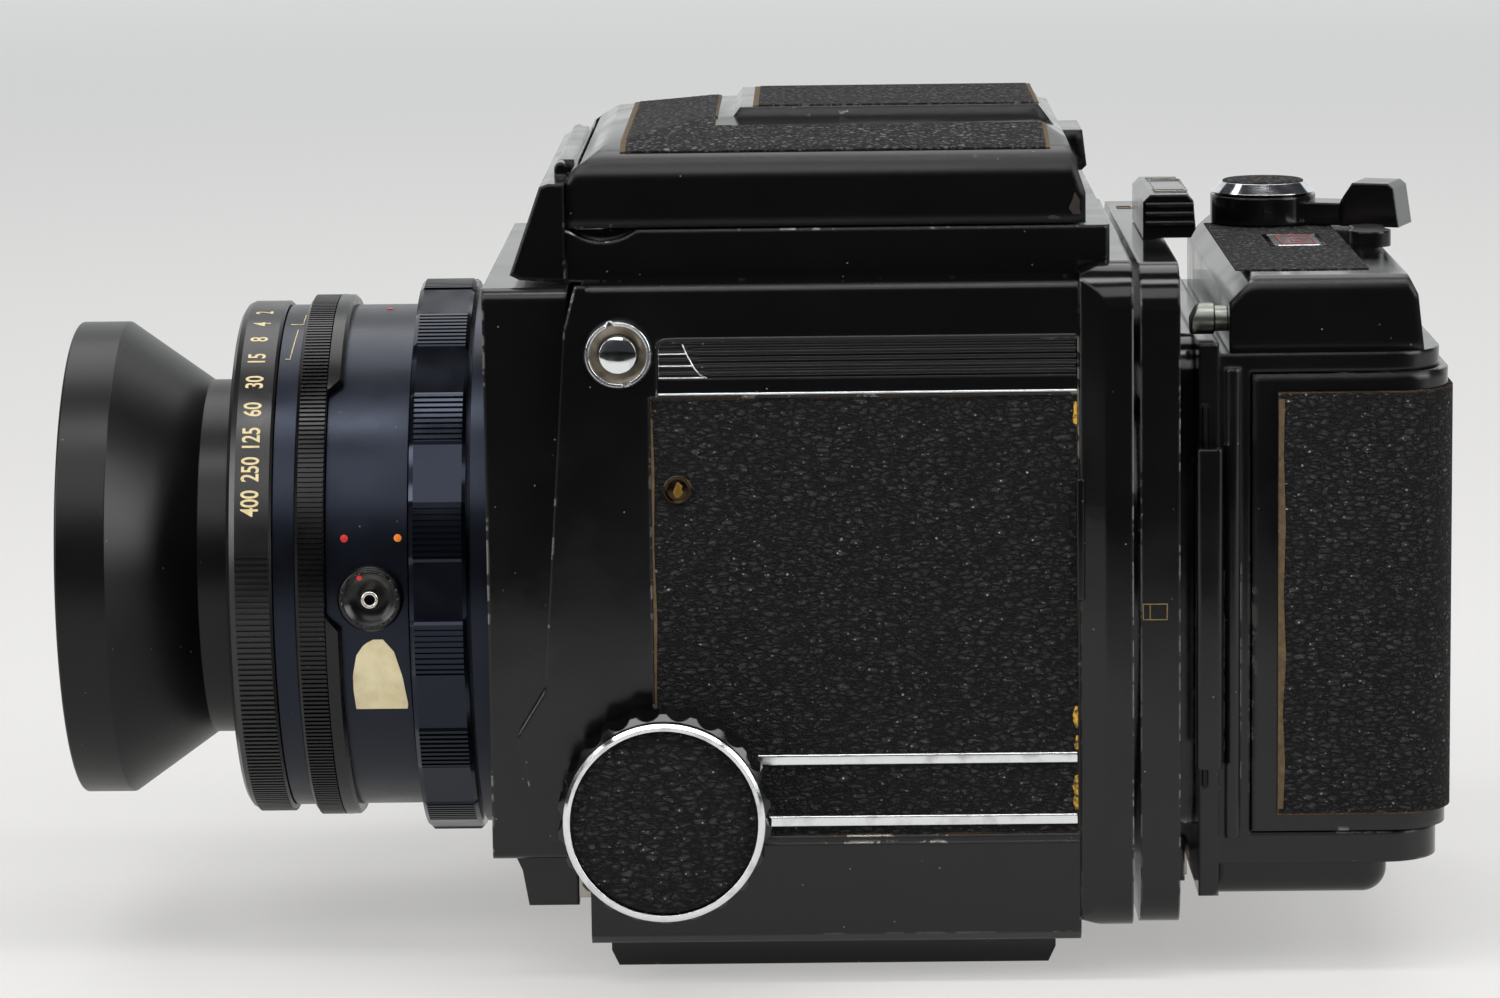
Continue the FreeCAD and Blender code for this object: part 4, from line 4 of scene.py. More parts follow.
import bpy
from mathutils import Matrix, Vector


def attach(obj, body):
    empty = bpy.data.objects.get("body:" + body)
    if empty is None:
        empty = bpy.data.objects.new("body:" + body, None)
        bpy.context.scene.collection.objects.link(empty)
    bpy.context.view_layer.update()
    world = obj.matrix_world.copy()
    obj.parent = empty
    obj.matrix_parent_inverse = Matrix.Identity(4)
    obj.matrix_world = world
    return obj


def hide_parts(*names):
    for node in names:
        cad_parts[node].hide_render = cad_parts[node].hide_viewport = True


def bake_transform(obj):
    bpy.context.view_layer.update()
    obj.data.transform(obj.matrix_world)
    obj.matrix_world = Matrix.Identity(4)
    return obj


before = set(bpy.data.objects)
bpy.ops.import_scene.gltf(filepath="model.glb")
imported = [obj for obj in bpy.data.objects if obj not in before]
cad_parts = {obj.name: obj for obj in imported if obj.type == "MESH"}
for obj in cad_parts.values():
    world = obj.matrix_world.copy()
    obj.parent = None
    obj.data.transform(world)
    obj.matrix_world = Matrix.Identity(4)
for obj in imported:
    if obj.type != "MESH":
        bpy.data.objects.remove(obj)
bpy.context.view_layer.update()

# Camera
# The photograph was taken from the camera's left hand side, a little above it and almost square on, with a
# long lens. The place and turn come from the perspective of the lens circles and the square plates.
PHOTO_EYE = (-0.00224, -0.88242, 0.21271)
PHOTO_TURN = (80.863, 0.729, 0.636)


def add_object(name, operator, **settings):
    """Add an object with one of Blender's operators, selected alone, and name it."""
    bpy.ops.object.select_all(action="DESELECT")
    operator(**settings)
    fresh = bpy.context.active_object
    fresh.name = name
    return fresh


photo_view = add_object("photo_view", bpy.ops.object.camera_add, location=PHOTO_EYE,
                        rotation=[math.radians(turn) for turn in PHOTO_TURN])
photo_view.data.sensor_width = 36
photo_view.data.lens = 127.82
photo_view.data.clip_start = 0.01
bpy.context.scene.camera = photo_view
bpy.context.scene.view_settings.view_transform = "Standard"


def srgb(code):
    """A colour written as a six figure sRGB hex value, turned to linear light."""
    parts = [int(code[i:i + 2], 16) / 255 for i in (0, 2, 4)]
    return [part / 12.92 if part <= 0.04045 else ((part + 0.055) / 1.055) ** 2.4 for part in parts] + [1]


def fill(node, sockets):
    """Set a node's sockets to values, or join them to other nodes. A node stands for its first output."""
    for socket, value in sockets.items():
        if isinstance(value, bpy.types.Node):
            value = value.outputs[0]
        if isinstance(value, bpy.types.NodeSocket):
            node.id_data.links.new(value, node.inputs[socket])
        else:
            node.inputs[socket].default_value = value


def add_node(tree, kind, sockets=None, **fields):
    """Add a shader node, set its fields and fill its sockets."""
    fresh = tree.nodes.new("ShaderNode" + kind)
    for field, value in fields.items():
        setattr(fresh, field, value)
    fill(fresh, sockets or {})
    return fresh


def new_finish(name, **values):
    """A new material with its main shader's plain values set, and the function that adds nodes to it."""
    finish = bpy.data.materials.new(name)
    finish.use_nodes = True
    shader = finish.node_tree.nodes["Principled BSDF"]
    fill(shader, {socket.replace("_", " "): value for socket, value in values.items()})
    return finish, partial(add_node, finish.node_tree), shader


# Table and backdrop
# A pale glossy table that curves up into a pale grey wall behind. Shiny parts see the table only as far as
# it reached in front of the camera, and the unlit studio beyond that.
TABLE_FRONT = -0.38
TABLE_SIZE = (12, 9)
WALL_BEHIND = 3.6
WALL_HEIGHT = 2.5
CURVE_RADIUS = 0.6
CURVE_STEPS = 12
table = add_object("table_and_wall", bpy.ops.mesh.primitive_plane_add, size=1,
                   location=(0, WALL_BEHIND - TABLE_SIZE[1] / 2, 0))
table.scale = (*TABLE_SIZE, 1)
bpy.ops.object.transform_apply()
bpy.ops.object.mode_set(mode="EDIT")
bpy.ops.mesh.select_mode(type="EDGE")
bpy.ops.mesh.select_all(action="DESELECT")
bpy.ops.object.mode_set(mode="OBJECT")
for edge in table.data.edges:
    edge.select = all(table.data.vertices[i].co.y > WALL_BEHIND - 0.01 for i in edge.vertices)
bpy.ops.object.mode_set(mode="EDIT")
for step in range(CURVE_STEPS):
    low, high = (math.radians(90) * (step + i) / CURVE_STEPS for i in (0, 1))
    move = (0, CURVE_RADIUS * (math.sin(high) - math.sin(low)),
            CURVE_RADIUS * (math.cos(low) - math.cos(high)))
    bpy.ops.mesh.extrude_region_move(TRANSFORM_OT_translate={"value": move})
bpy.ops.mesh.extrude_region_move(TRANSFORM_OT_translate={"value": (0, 0, WALL_HEIGHT)})
bpy.ops.object.mode_set(mode="OBJECT")
bpy.ops.object.shade_smooth()

acrylic, add, shader = new_finish("white_acrylic_sheet", Roughness=0.55, IOR=1.2)
spot = add("TexCoord").outputs["Object"]
place = add("SeparateXYZ", {0: spot})
reach = add("VectorMath", {0: spot}, operation="LENGTH")
even = add("MapRange", {"Value": reach.outputs["Value"], "From Min": 1.2, "From Max": 4.0, "To Min": 0.55,
                        "To Max": 1.0})
back = add("MapRange", {"Value": place.outputs["Y"], "From Min": 0.5, "From Max": 2.2})
tint = add("Mix", {0: back, 6: srgb("e0dfdd"), 7: srgb("eef0f0")}, data_type="RGBA")
fill(shader, {"Base Color": tint.outputs[2]})
glow = add("Emission", {"Color": tint.outputs[2], "Strength": 0.98})
ray = add("LightPath")
seen = add("Math", {0: ray.outputs["Is Camera Ray"], 1: ray.outputs["Is Glossy Ray"]}, operation="MAXIMUM")
share = add("Math", {0: seen, 1: even}, operation="MULTIPLY")
lit = add("MixShader", {0: share, 1: shader, 2: glow})
unlit = add("BsdfDiffuse", {"Color": srgb("202020")})
ahead = add("Math", {0: place.outputs["Y"], 1: TABLE_FRONT}, operation="LESS_THAN")
hidden = add("Math", {0: ahead, 1: ray.outputs["Is Glossy Ray"]}, operation="MULTIPLY")
both = add("MixShader", {0: hidden, 1: lit, 2: unlit})
fill(acrylic.node_tree.nodes["Material Output"], {"Surface": both})
table.data.materials.append(acrylic)

# Lamps and room light
# A long narrow soft box hangs over the near side, a weaker one stands behind the camera, tall ones stand
# at the left and the right, and the last lights the table behind.
SOFT_BOXES = (
    ("overhead_box", (0.0, -0.27, 0.85), (1.3, 0.16), 5.0, (0, 0, 0.07)),
    ("near_box", (-0.2, -0.80, 0.82), (0.8, 0.5), 3.0, (0, 0, 0.07)),
    ("right_box", (0.90, -0.42, 0.50), (0.5, 0.7), 8.0, (0, 0, 0.07)),
    ("left_box", (-0.90, -0.50, 0.50), (0.5, 0.7), 7.0, (0, 0, 0.07)),
    ("table_box", (0.0, 0.75, 1.3), (1.6, 1.0), 14.0, (0, 0.5, 0)),
)
for name, spot, size, power, aim in SOFT_BOXES:
    turn = (Vector(aim) - Vector(spot)).to_track_quat("-Z", "Y").to_euler()
    lamp = add_object(name, bpy.ops.object.light_add, type="AREA", location=spot, rotation=turn)
    lamp.data.shape = "RECTANGLE"
    lamp.data.size, lamp.data.size_y = size
    lamp.data.energy = power
room = bpy.data.worlds.new("studio_room")
room.use_nodes = True
bpy.context.scene.world = room
add = partial(add_node, room.node_tree)
seen = add("LightPath").outputs["Is Camera Ray"]
light = add("Mix", {0: seen, 6: srgb("36383b"), 7: srgb("dedfdf")}, data_type="RGBA")
fill(room.node_tree.nodes["Background"], {"Color": light.outputs[2]})


# Body castings
# The box, the lower casing, the base plate and the plates at the back are light alloy castings in gloss
# black stoving enamel. It has a faint ripple, dust in it, and small bright nicks along the rubbed edges.
def add_specks(add, place, gap, size, share):
    """Small round specks with soft rims, strewn a gap in millimetres apart and sized as a share of it."""
    points = add("TexVoronoi", {"Vector": place, "Scale": 1000 / gap})
    return add("MapRange", {"Value": points, "From Min": size[0], "From Max": size[1], "To Max": share})


def black_enamel(name, wear=0.5, soft_edge=0.6):
    finish, add, shader = new_finish(name, IOR=1.44)
    place = add("TexCoord").outputs["Object"]
    edge = add("Bevel", {"Radius": soft_edge / 1000}, samples=6)
    true_face = add("NewGeometry").outputs["Normal"]
    turned = add("VectorMath", {0: edge, 1: true_face}, operation="DOT_PRODUCT")
    nick_size = 2.2
    nicks = add("TexNoise", {"Vector": place, "Scale": 1000 / nick_size, "Detail": 3})
    along = add("TexNoise", {"Vector": place, "Scale": 1000 / 21})
    rubbed = add("Math", {0: nicks, 1: along}, operation="ADD")
    bare = add("MapRange", {"Value": rubbed, "From Min": 1.36 - 0.4 * wear, "From Max": 1.40 - 0.4 * wear})
    near_edge = add("MapRange", {"Value": turned.outputs["Value"], "From Min": 0.9, "From Max": 0.78})
    worn = add("Math", {0: bare, 1: near_edge}, operation="MULTIPLY")
    dust = add_specks(add, place, gap=3.5, size=(0.045, 0.02), share=0.35)
    haze = add("TexNoise", {"Vector": place, "Scale": 1000 / 14, "Detail": 4})
    black = add("Mix", {0: dust, 6: srgb("0a0a0b"), 7: srgb("b8b4ac")}, data_type="RGBA")
    colour = add("Mix", {0: worn, 6: black.outputs[2], 7: srgb("a9a69f")}, data_type="RGBA")
    rough = add("MapRange", {"Value": haze, "From Min": 0.3, "From Max": 0.7, "To Min": 0.08, "To Max": 0.2})
    ripple = add("TexNoise", {"Vector": place, "Scale": 1000 / 1.6, "Detail": 1})
    skin = add("Bump", {"Strength": 0.12, "Distance": 0.00003, "Height": ripple, "Normal": edge})
    fill(shader, {"Base Color": colour.outputs[2], "Metallic": worn, "Roughness": rough, "Normal": skin})
    return finish


def dress(finish, *names):
    """Give carried-over pieces of the frame a finish."""
    for name in names:
        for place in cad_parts[name].material_slots:
            place.material = finish


body_enamel = black_enamel("gloss_enamel_body", wear=0.62, soft_edge=0.9)
dress(body_enamel, "body_casting", "lower_casing", "base_plate", "finder_base", "finder_nameplate",
      "front_standard", "carriage", "magazine_frame")
plate_enamel = black_enamel("gloss_enamel_plates", wear=0.85, soft_edge=0.7)
dress(plate_enamel, "adapter_plate", "revolving_plate")
magazine_enamel = black_enamel("gloss_enamel_magazine", wear=0.4, soft_edge=1.9)
dress(magazine_enamel, "magazine_top", "magazine_bottom", "magazine_door")
small_enamel = black_enamel("gloss_enamel_small", wear=0.2, soft_edge=0.6)
dress(small_enamel, "trim_panels", "dark_slide_handle",
      "upper_slide_lock", "cocking_lever", "wind_lever", "exposure_lever")


# Side leatherettes
# Embossed vinyl cloth glued into the castings: dull black, with wrinkles drawn out along the camera, a
# fine grain, a few pale fibres, and a raw edge of brown backing and yellow glue. The wrinkle ridges are
# painted grey as a highlight, and small pale specks on them are painted glints.
def leatherette(name, wrinkle=(1.7, 0.78, 0.78), raw_edge=0.7, depth=0.8, ridge_highlight="363636"):
    finish, add, shader = new_finish(name, IOR=1.3)
    place = add("TexCoord").outputs["Object"]
    drawn_out = add("Mapping", {"Vector": place, "Scale": [1000 / size for size in wrinkle]})
    ridges = add("TexNoise", {"Vector": drawn_out, "Scale": 1, "Detail": 4, "Roughness": 0.62,
                              "Distortion": 0.8})
    folds = add("MapRange", {"Value": ridges, "From Min": 0.4, "From Max": 0.58})
    crooked = add("VectorMath", {0: drawn_out, 1: ridges.outputs["Color"]}, operation="ADD")
    pads = add("TexVoronoi", {"Vector": crooked, "Scale": 0.9}, feature="DISTANCE_TO_EDGE")
    groove = add("MapRange", {"Value": pads, "From Min": 0.04, "From Max": 0.28})
    swell = add("Math", {0: folds, 1: groove}, operation="MULTIPLY")
    grain_size = 0.34
    grain = add("TexVoronoi", {"Vector": place, "Scale": 1000 / grain_size})
    pebble = add("MapRange", {"Value": grain, "From Max": 0.7, "To Min": 1, "To Max": 0})
    relief = add("Math", {0: pebble, 1: 0.32, 2: swell}, operation="MULTIPLY_ADD")
    edge = add("Bevel", {"Radius": 0.0005}, samples=4)
    true_face = add("NewGeometry").outputs["True Normal"]
    turned = add("VectorMath", {0: edge, 1: true_face}, operation="DOT_PRODUCT")
    near_edge = add("MapRange", {"Value": turned.outputs["Value"], "From Min": 0.99, "From Max": 0.9,
                                 "To Max": raw_edge})
    patches = add("TexNoise", {"Vector": place, "Scale": 1000 / 7, "Detail": 3})
    torn = add("MapRange", {"Value": patches, "From Min": 0.35, "From Max": 0.6})
    raw = add("Math", {0: near_edge, 1: torn}, operation="MULTIPLY")
    # Painted highlight: the wrinkle ridges are painted grey and the grooves are left black.
    vinyl_with_ridge_highlight = add("Mix", {0: swell, 6: srgb("000000"), 7: srgb(ridge_highlight)}, data_type="RGBA")
    lint = add_specks(add, place, gap=5.0, size=(0.05, 0.03), share=0.6)
    # Painted glints: small pale specks on the ridges stand in for light caught by the grain.
    glint_specks = add_specks(add, place, gap=0.95, size=(0.2, 0.1), share=0.5)
    painted_glints = add("Math", {0: glint_specks, 1: swell}, operation="MULTIPLY")
    vinyl_with_painted_glints = add("Mix", {0: painted_glints, 6: vinyl_with_ridge_highlight.outputs[2], 7: srgb("d8d8d8")}, data_type="RGBA")
    dusty = add("Mix", {0: lint, 6: vinyl_with_painted_glints.outputs[2], 7: srgb("a8a294")}, data_type="RGBA")
    colour = add("Mix", {0: raw, 6: dusty.outputs[2], 7: srgb("6b4d26")}, data_type="RGBA")
    sheen = add("Math", {0: swell, 1: pebble}, operation="MULTIPLY")
    rough = add("MapRange", {"Value": sheen, "From Min": 0.2, "From Max": 0.75, "To Min": 0.8,
                             "To Max": 0.32})
    skin = add("Bump", {"Strength": 1, "Distance": depth / 1000, "Height": relief})
    fill(shader, {"Base Color": colour.outputs[2], "Roughness": rough, "Normal": skin})
    return finish


side_vinyl = leatherette("vinyl_leatherette_sides")
dress(side_vinyl, "side_leathers")
door_vinyl = leatherette("vinyl_leatherette_door", wrinkle=(1.7, 1.7, 0.78), raw_edge=0.9)
dress(door_vinyl, "door_leather")


def join_camera(piece, finish, body):
    """Give a new piece its finish and its material slot, and fix it to a body of the frame."""
    piece.data.materials.clear()
    piece.data.materials.append(finish)
    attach(piece, body)
    return piece


def pick_faces(piece, test):
    """In edit mode, select just the faces whose middle and direction pass the test."""
    bpy.ops.object.mode_set(mode="EDIT")
    bpy.ops.mesh.select_mode(type="FACE")
    bpy.ops.mesh.select_all(action="DESELECT")
    bpy.ops.object.mode_set(mode="OBJECT")
    for face in piece.data.polygons:
        face.select = test(face.center, face.normal)
    bpy.ops.object.mode_set(mode="EDIT")


def soften(piece, width, segments=2, angle=30):
    """Round a finished piece's sharp edges a little and shade the rest smooth."""
    rounding = piece.modifiers.new("edge_rounding", "BEVEL")
    rounding.width = width / 1000
    rounding.segments = segments
    rounding.limit_method = "ANGLE"
    rounding.angle_limit = math.radians(angle)
    rounding.use_clamp_overlap = True
    bpy.ops.object.modifier_apply(modifier=rounding.name)
    bpy.ops.object.shade_smooth_by_angle(angle=math.radians(max(angle, 40)))
    flatness = piece.modifiers.new("flat_faces_stay_flat", "WEIGHTED_NORMAL")
    flatness.keep_sharp = True
    bpy.ops.object.modifier_apply(modifier=flatness.name)


def cut_bar(name, low, high, rounding=0.2):
    """A bar cut to size between two corners given in millimetres, with rounded edges."""
    middle = [(a + b) / 2000 for a, b in zip(low, high)]
    bar = add_object(name, bpy.ops.mesh.primitive_cube_add, size=1, location=middle)
    bar.scale = [abs(b - a) / 1000 for a, b in zip(low, high)]
    bpy.ops.object.transform_apply()
    if rounding:
        soften(bar, rounding)
    return bar


def face_outwards():
    """Turn all the faces of the active piece outwards and leave edit mode."""
    bpy.ops.object.mode_set(mode="EDIT")
    bpy.ops.mesh.select_all(action="SELECT")
    bpy.ops.mesh.normals_make_consistent(inside=False)
    bpy.ops.object.mode_set(mode="OBJECT")


def turn_piece(name, outline, axis="x", centre=(0, 0, 0), sides=160, closed=True, rounding=0.15):
    """A turned piece: a circle drawn out through (place along the axis, radius) points in millimetres."""
    place, radius = outline[0]
    piece = add_object(name, bpy.ops.mesh.primitive_circle_add, vertices=sides, radius=radius / 1000,
                       location=(place / 1000, 0, 0), rotation=(0, math.radians(90), 0))
    bpy.ops.object.transform_apply()
    bpy.ops.object.mode_set(mode="EDIT")
    bpy.ops.mesh.select_mode(type="VERT")
    bpy.ops.mesh.select_all(action="SELECT")
    for next_place, next_radius in outline[1:]:
        step = ((next_place - place) / 1000, 0, 0)
        bpy.ops.mesh.extrude_region_move(TRANSFORM_OT_translate={"value": step})
        if next_radius:
            grow = next_radius / radius
            bpy.ops.transform.resize(value=(1, grow, grow), center_override=(next_place / 1000, 0, 0))
        else:
            bpy.ops.mesh.merge(type="CENTER")
        place, radius = next_place, next_radius
    bpy.ops.mesh.select_all(action="SELECT")
    bpy.ops.mesh.region_to_loop()
    if closed:
        bpy.ops.mesh.bridge_edge_loops()
    else:
        bpy.ops.mesh.edge_face_add()
    face_outwards()
    turns = {"x": (0, 0, 0), "y": (0, 0, math.radians(90)), "z": (0, math.radians(-90), 0)}
    piece.rotation_euler = turns[axis]
    piece.location = [value / 1000 for value in centre]
    bpy.ops.object.transform_apply()
    if rounding:
        soften(piece, rounding)
    else:
        bpy.ops.object.shade_smooth_by_angle(angle=math.radians(30))
    return piece


def angle_about(spot, middle):
    """The angle of a place round the middle of a piece on the camera's side, in degrees."""
    return math.degrees(math.atan2(spot.z * 1000 - middle[1], spot.x * 1000 - middle[0]))


def turn_outwards(name, outline, along, height, sign, sides=96, closed=False, rounding=0.1):
    """A turned piece that points out of one side. Places along its axis count from the middle."""
    piece = turn_piece(name, outline, "y", (along, 0, height), sides, closed, rounding)
    piece.scale = (1, sign, 1)
    bpy.ops.object.transform_apply()
    face_outwards()
    return piece


def draw_line(name, points, radius=0.12, closed=False):
    """A fine raised line, round in section, through points in millimetres."""
    line = add_object(name, bpy.ops.curve.primitive_bezier_curve_add)
    line.data.splines.clear()
    run = line.data.splines.new("POLY")
    run.points.add(len(points) - 1)
    for place, spot in zip(run.points, points):
        place.co = (*[value / 1000 for value in spot], 1)
    run.use_cyclic_u = closed
    line.data.dimensions = "3D"
    line.data.bevel_depth = radius / 1000
    line.data.bevel_resolution = 2
    line.data.use_fill_caps = not closed
    bpy.ops.object.convert(target="MESH")
    line = bpy.context.active_object
    bpy.ops.object.shade_smooth_by_angle(angle=math.radians(50))
    return line


def read_line(points, place):
    """The height of a line of straight runs at a place along it."""
    for (a, low), (b, high) in zip(points, points[1:]):
        if a <= place <= b:
            return low + (high - low) * (place - a) / (b - a)
    return points[0][1] if place < points[0][0] else points[-1][1]


def thicken(piece, thick, offset):
    """Give an open sheet a thickness in millimetres: offset 0 on both faces, -1 behind it."""
    walls = piece.modifiers.new("sheet_thickness", "SOLIDIFY")
    walls.thickness = thick / 1000
    walls.offset = offset
    bpy.ops.object.modifier_apply(modifier=walls.name)


def on_side(face):
    """The places of an upright plane beside the camera, for lay_patch."""
    return lambda along, up: (along, face, up)


def lay_patch(name, left_edge, right_edge, spot_at, cuts=(8, 24), thick=0.08):
    """A thin patch between two ragged edges, lines of (height, place) points, put where spot_at says."""
    patch = add_object(name, bpy.ops.mesh.primitive_grid_add, x_subdivisions=cuts[0], y_subdivisions=cuts[1],
                       size=1)
    low, high = left_edge[0][0], left_edge[-1][0]
    for corner in patch.data.vertices:
        height = low + (high - low) * (corner.co.y + 0.5)
        start, end = read_line(left_edge, height), read_line(right_edge, height)
        corner.co = [value / 1000 for value in spot_at(start + (end - start) * (corner.co.x + 0.5), height)]
    thicken(patch, thick, 0)
    face_outwards()
    bpy.ops.object.shade_smooth_by_angle(angle=math.radians(40))
    return patch


# Chromed side strips
# Two polished brass strips, chromed, pressed onto each side leatherette behind the focusing knob. They
# have fine scratches and a little grey dirt.
def bright_chrome(name, rough=(0.06, 0.22), dirt=0.3, colour="e2e4e6"):
    finish, add, shader = new_finish(name, Metallic=1.0)
    place = add("TexCoord").outputs["Object"]
    smear = add("TexNoise", {"Vector": place, "Scale": 1000 / 3.5, "Detail": 5})
    grime = add("MapRange", {"Value": smear, "From Min": 0.52, "From Max": 0.75, "To Max": dirt})
    tint = add("Mix", {0: grime, 6: srgb(colour), 7: srgb("4a443a")}, data_type="RGBA")
    gloss = add("MapRange", {"Value": smear, "From Min": 0.35, "From Max": 0.7, "To Min": rough[0],
                             "To Max": rough[1]})
    hair_lines = add("Mapping", {"Vector": place, "Scale": (200, 4000, 4000)})
    scratch = add("TexNoise", {"Vector": hair_lines, "Scale": 1, "Detail": 2})
    edge = add("Bevel", {"Radius": 0.0002}, samples=4)
    skin = add("Bump", {"Strength": 0.08, "Distance": 0.00002, "Height": scratch, "Normal": edge})
    fill(shader, {"Base Color": tint.outputs[2], "Roughness": gloss, "Normal": skin})
    return finish


trim_chrome = bright_chrome("polished_chrome_trim")
SIDES = (("left", -1), ("right", 1))
LEATHER_FACE = 51.6
STRIP_ENDS = (-12.5, 38.5)
STRIP_HEIGHTS = ((36.1, 37.8), (26.1, 27.8))
for row, (low, high) in enumerate(STRIP_HEIGHTS):
    for side, sign in SIDES:
        depths = sorted((sign * (LEATHER_FACE - 0.3), sign * (LEATHER_FACE + 0.35)))
        strip = cut_bar(f"side_strip_{side}_{row}", (STRIP_ENDS[0], depths[0], low),
                        (STRIP_ENDS[1], depths[1], high), 0.25)
        join_camera(strip, trim_chrome, "body")

# Side plug
# A small turned brass plug with a dark lacquered rim closes a hole in each side leatherette.
lacquer = bright_chrome("lacquered_brass_plug", rough=(0.2, 0.35), dirt=0.9, colour="3c3226")
brass = bright_chrome("bare_brass_worn", rough=(0.3, 0.5), dirt=1.0, colour="a07c3a")
PLUG_AT = (-24.6, 80.7)
PLUG_OUTLINE = [(51.4, 2.35), (51.9, 2.35), (52.1, 2.1), (51.85, 1.7), (52.0, 1.2), (52.1, 0.5), (52.1, 0)]
PLUG_FACE = 52.12
for side, sign in SIDES:
    plug = turn_outwards(f"side_plug_{side}", PLUG_OUTLINE, *PLUG_AT, sign, sides=48)
    join_camera(plug, lacquer, "body")
    bare = lay_patch(f"side_plug_wear_{side}", [(79.5, -24.9), (80.3, -25.3), (80.9, -25.1), (81.9, -24.7)],
                     [(79.5, -24.4), (80.2, -23.7), (80.8, -24.0), (81.3, -23.8), (81.9, -24.4)],
                     on_side(sign * PLUG_FACE), cuts=(6, 12))
    join_camera(bare, brass, "body")

# Trim panels
# A black enamelled plate is pressed in above each side leatherette, ruled with fine lines. A chrome bead
# runs along its lower edge, and three short ones end in a slanting one at the front.
TRIM_FACE = 51.7
TRIM_SLANT = ((-23.5, 103.8), (-22.9, 102.3), (-22.3, 101.2), (-21.7, 100.0), (-20.8, 99.0), (-19.7, 98.4))
TRIM_BEADS = (
    ("lower_edge", ((-27.4, 95.9), (38.5, 95.9)), 0.2),
    ("short_low", ((-27.3, 98.5), (-20.2, 98.5)), 0.11),
    ("short_middle", ((-27.3, 100.4), (-21.9, 100.4)), 0.11),
    ("short_high", ((-27.3, 102.3), (-22.9, 102.3)), 0.11),
    ("slanting", TRIM_SLANT, 0.11),
    ("front_edge", ((-27.3, 98.5), (-27.3, 103.8)), 0.06),
)
RULED_LINES = 12
RULE_BOTTOM = 98.4
RULE_PITCH = 0.47
RULE_ENDS = (-18.9, 38.2)
RULE_LEAN = 0.36
rubbed_rule = black_enamel("satin_enamel_ruled_lines", wear=1.0, soft_edge=0.15)
TRIM_BROW = ((-27.6, 103.2), (-27.3, 104.0), (-26.5, 104.5), (-25, 104.6), (38.3, 104.6))
for side, sign in SIDES:
    for name, run, radius in TRIM_BEADS:
        line = [(along, sign * TRIM_FACE, up) for along, up in run]
        bead = draw_line(f"trim_bead_{name}_{side}", line, radius)
        join_camera(bead, trim_chrome, "body")
    line = [(along, sign * (TRIM_FACE - 0.1), up) for along, up in TRIM_BROW]
    brow = draw_line(f"trim_brow_{side}", line, 0.42)
    join_camera(brow, small_enamel, "body")
    for row in range(RULED_LINES):
        up = RULE_BOTTOM + RULE_PITCH * row
        front = RULE_ENDS[0] - RULE_LEAN * row ** 0.9
        line = [(along, sign * TRIM_FACE, up) for along in (front, RULE_ENDS[1])]
        rule = draw_line(f"trim_rule_{row}_{side}", line, 0.09)
        join_camera(rule, rubbed_rule, "body")


# Guide bar and glue
# A short rounded bar stands at the rear edge of each side. Yellow glue has crept out from under the
# leatherette beside it, and the leatherette's front edge has worn to its brown backing.
def mottled(name, grain, detail, tones, span=(0, 1), bump=0, depth=0.1, **values):
    """A finish that drifts between two tones, in spots of a size given in millimetres."""
    finish, add, shader = new_finish(name, **values)
    place = add("TexCoord").outputs["Object"]
    spots = add("TexNoise", {"Vector": place, "Scale": 1000 / grain, "Detail": detail})
    drift = add("MapRange", {"Value": spots, "From Min": span[0], "From Max": span[1]})
    tint = add("Mix", {0: drift, 6: srgb(tones[0]), 7: srgb(tones[1])}, data_type="RGBA")
    fill(shader, {"Base Color": tint.outputs[2]})
    if bump:
        skin = add("Bump", {"Strength": bump, "Distance": depth / 1000, "Height": spots})
        fill(shader, {"Normal": skin})
    return finish


raw_backing = mottled("raw_leatherette_backing", 0.9, 4, ("171009", "64502e"), bump=1, depth=0.2,
                      Roughness=0.8)
glue = mottled("dried_contact_glue", 0.7, 5, ("1c1404", "c89a2c"), (0.4, 0.62), bump=1, depth=0.2,
               Roughness=0.45)
WEAR_FACE = 51.66
SIDE_WEAR = [(26, -28.3), (36, -28.0), (47, -28.4), (60, -28.1), (71, -28.45), (83, -28.2), (92, -28.4)]
GUIDE_BAR = ((38.3, 62.3), (39.7, 81.9))
GUIDE_DEPTHS = (51.5, 52.5)
GLUE_RUNS = (
    (((90.2, 38.0), (91.5, 37.8), (92.6, 38.05), (94.1, 37.9)), 38.55),
    (((41.6, 38.2), (42.6, 37.8), (43.8, 37.7), (45.2, 38.1)), 38.55),
    (((38.2, 38.1), (38.8, 37.9), (39.6, 38.15), (40.4, 38.2)), 38.55),
    (((28.4, 38.1), (29.6, 37.7), (31.0, 38.0), (32.2, 37.6), (34.0, 38.1)), 38.55),
)
for side, sign in SIDES:
    depths = sorted(sign * depth for depth in GUIDE_DEPTHS)
    guide = cut_bar(f"guide_bar_{side}", (GUIDE_BAR[0][0], depths[0], GUIDE_BAR[0][1]),
                    (GUIDE_BAR[1][0], depths[1], GUIDE_BAR[1][1]), 0.45)
    join_camera(guide, small_enamel, "body")
    for count, (left_edge, right) in enumerate(GLUE_RUNS):
        run = lay_patch(f"glue_run_{count}_{side}", left_edge, [(up, right) for up, place in left_edge],
                        on_side(sign * WEAR_FACE), cuts=(4, 12))
        join_camera(run, glue, "body")
    worn = lay_patch(f"worn_edge_{side}", [(26, -28.7), (92, -28.7)], SIDE_WEAR, on_side(sign * WEAR_FACE),
                     cuts=(3, 30))
    join_camera(worn, raw_backing, "body")

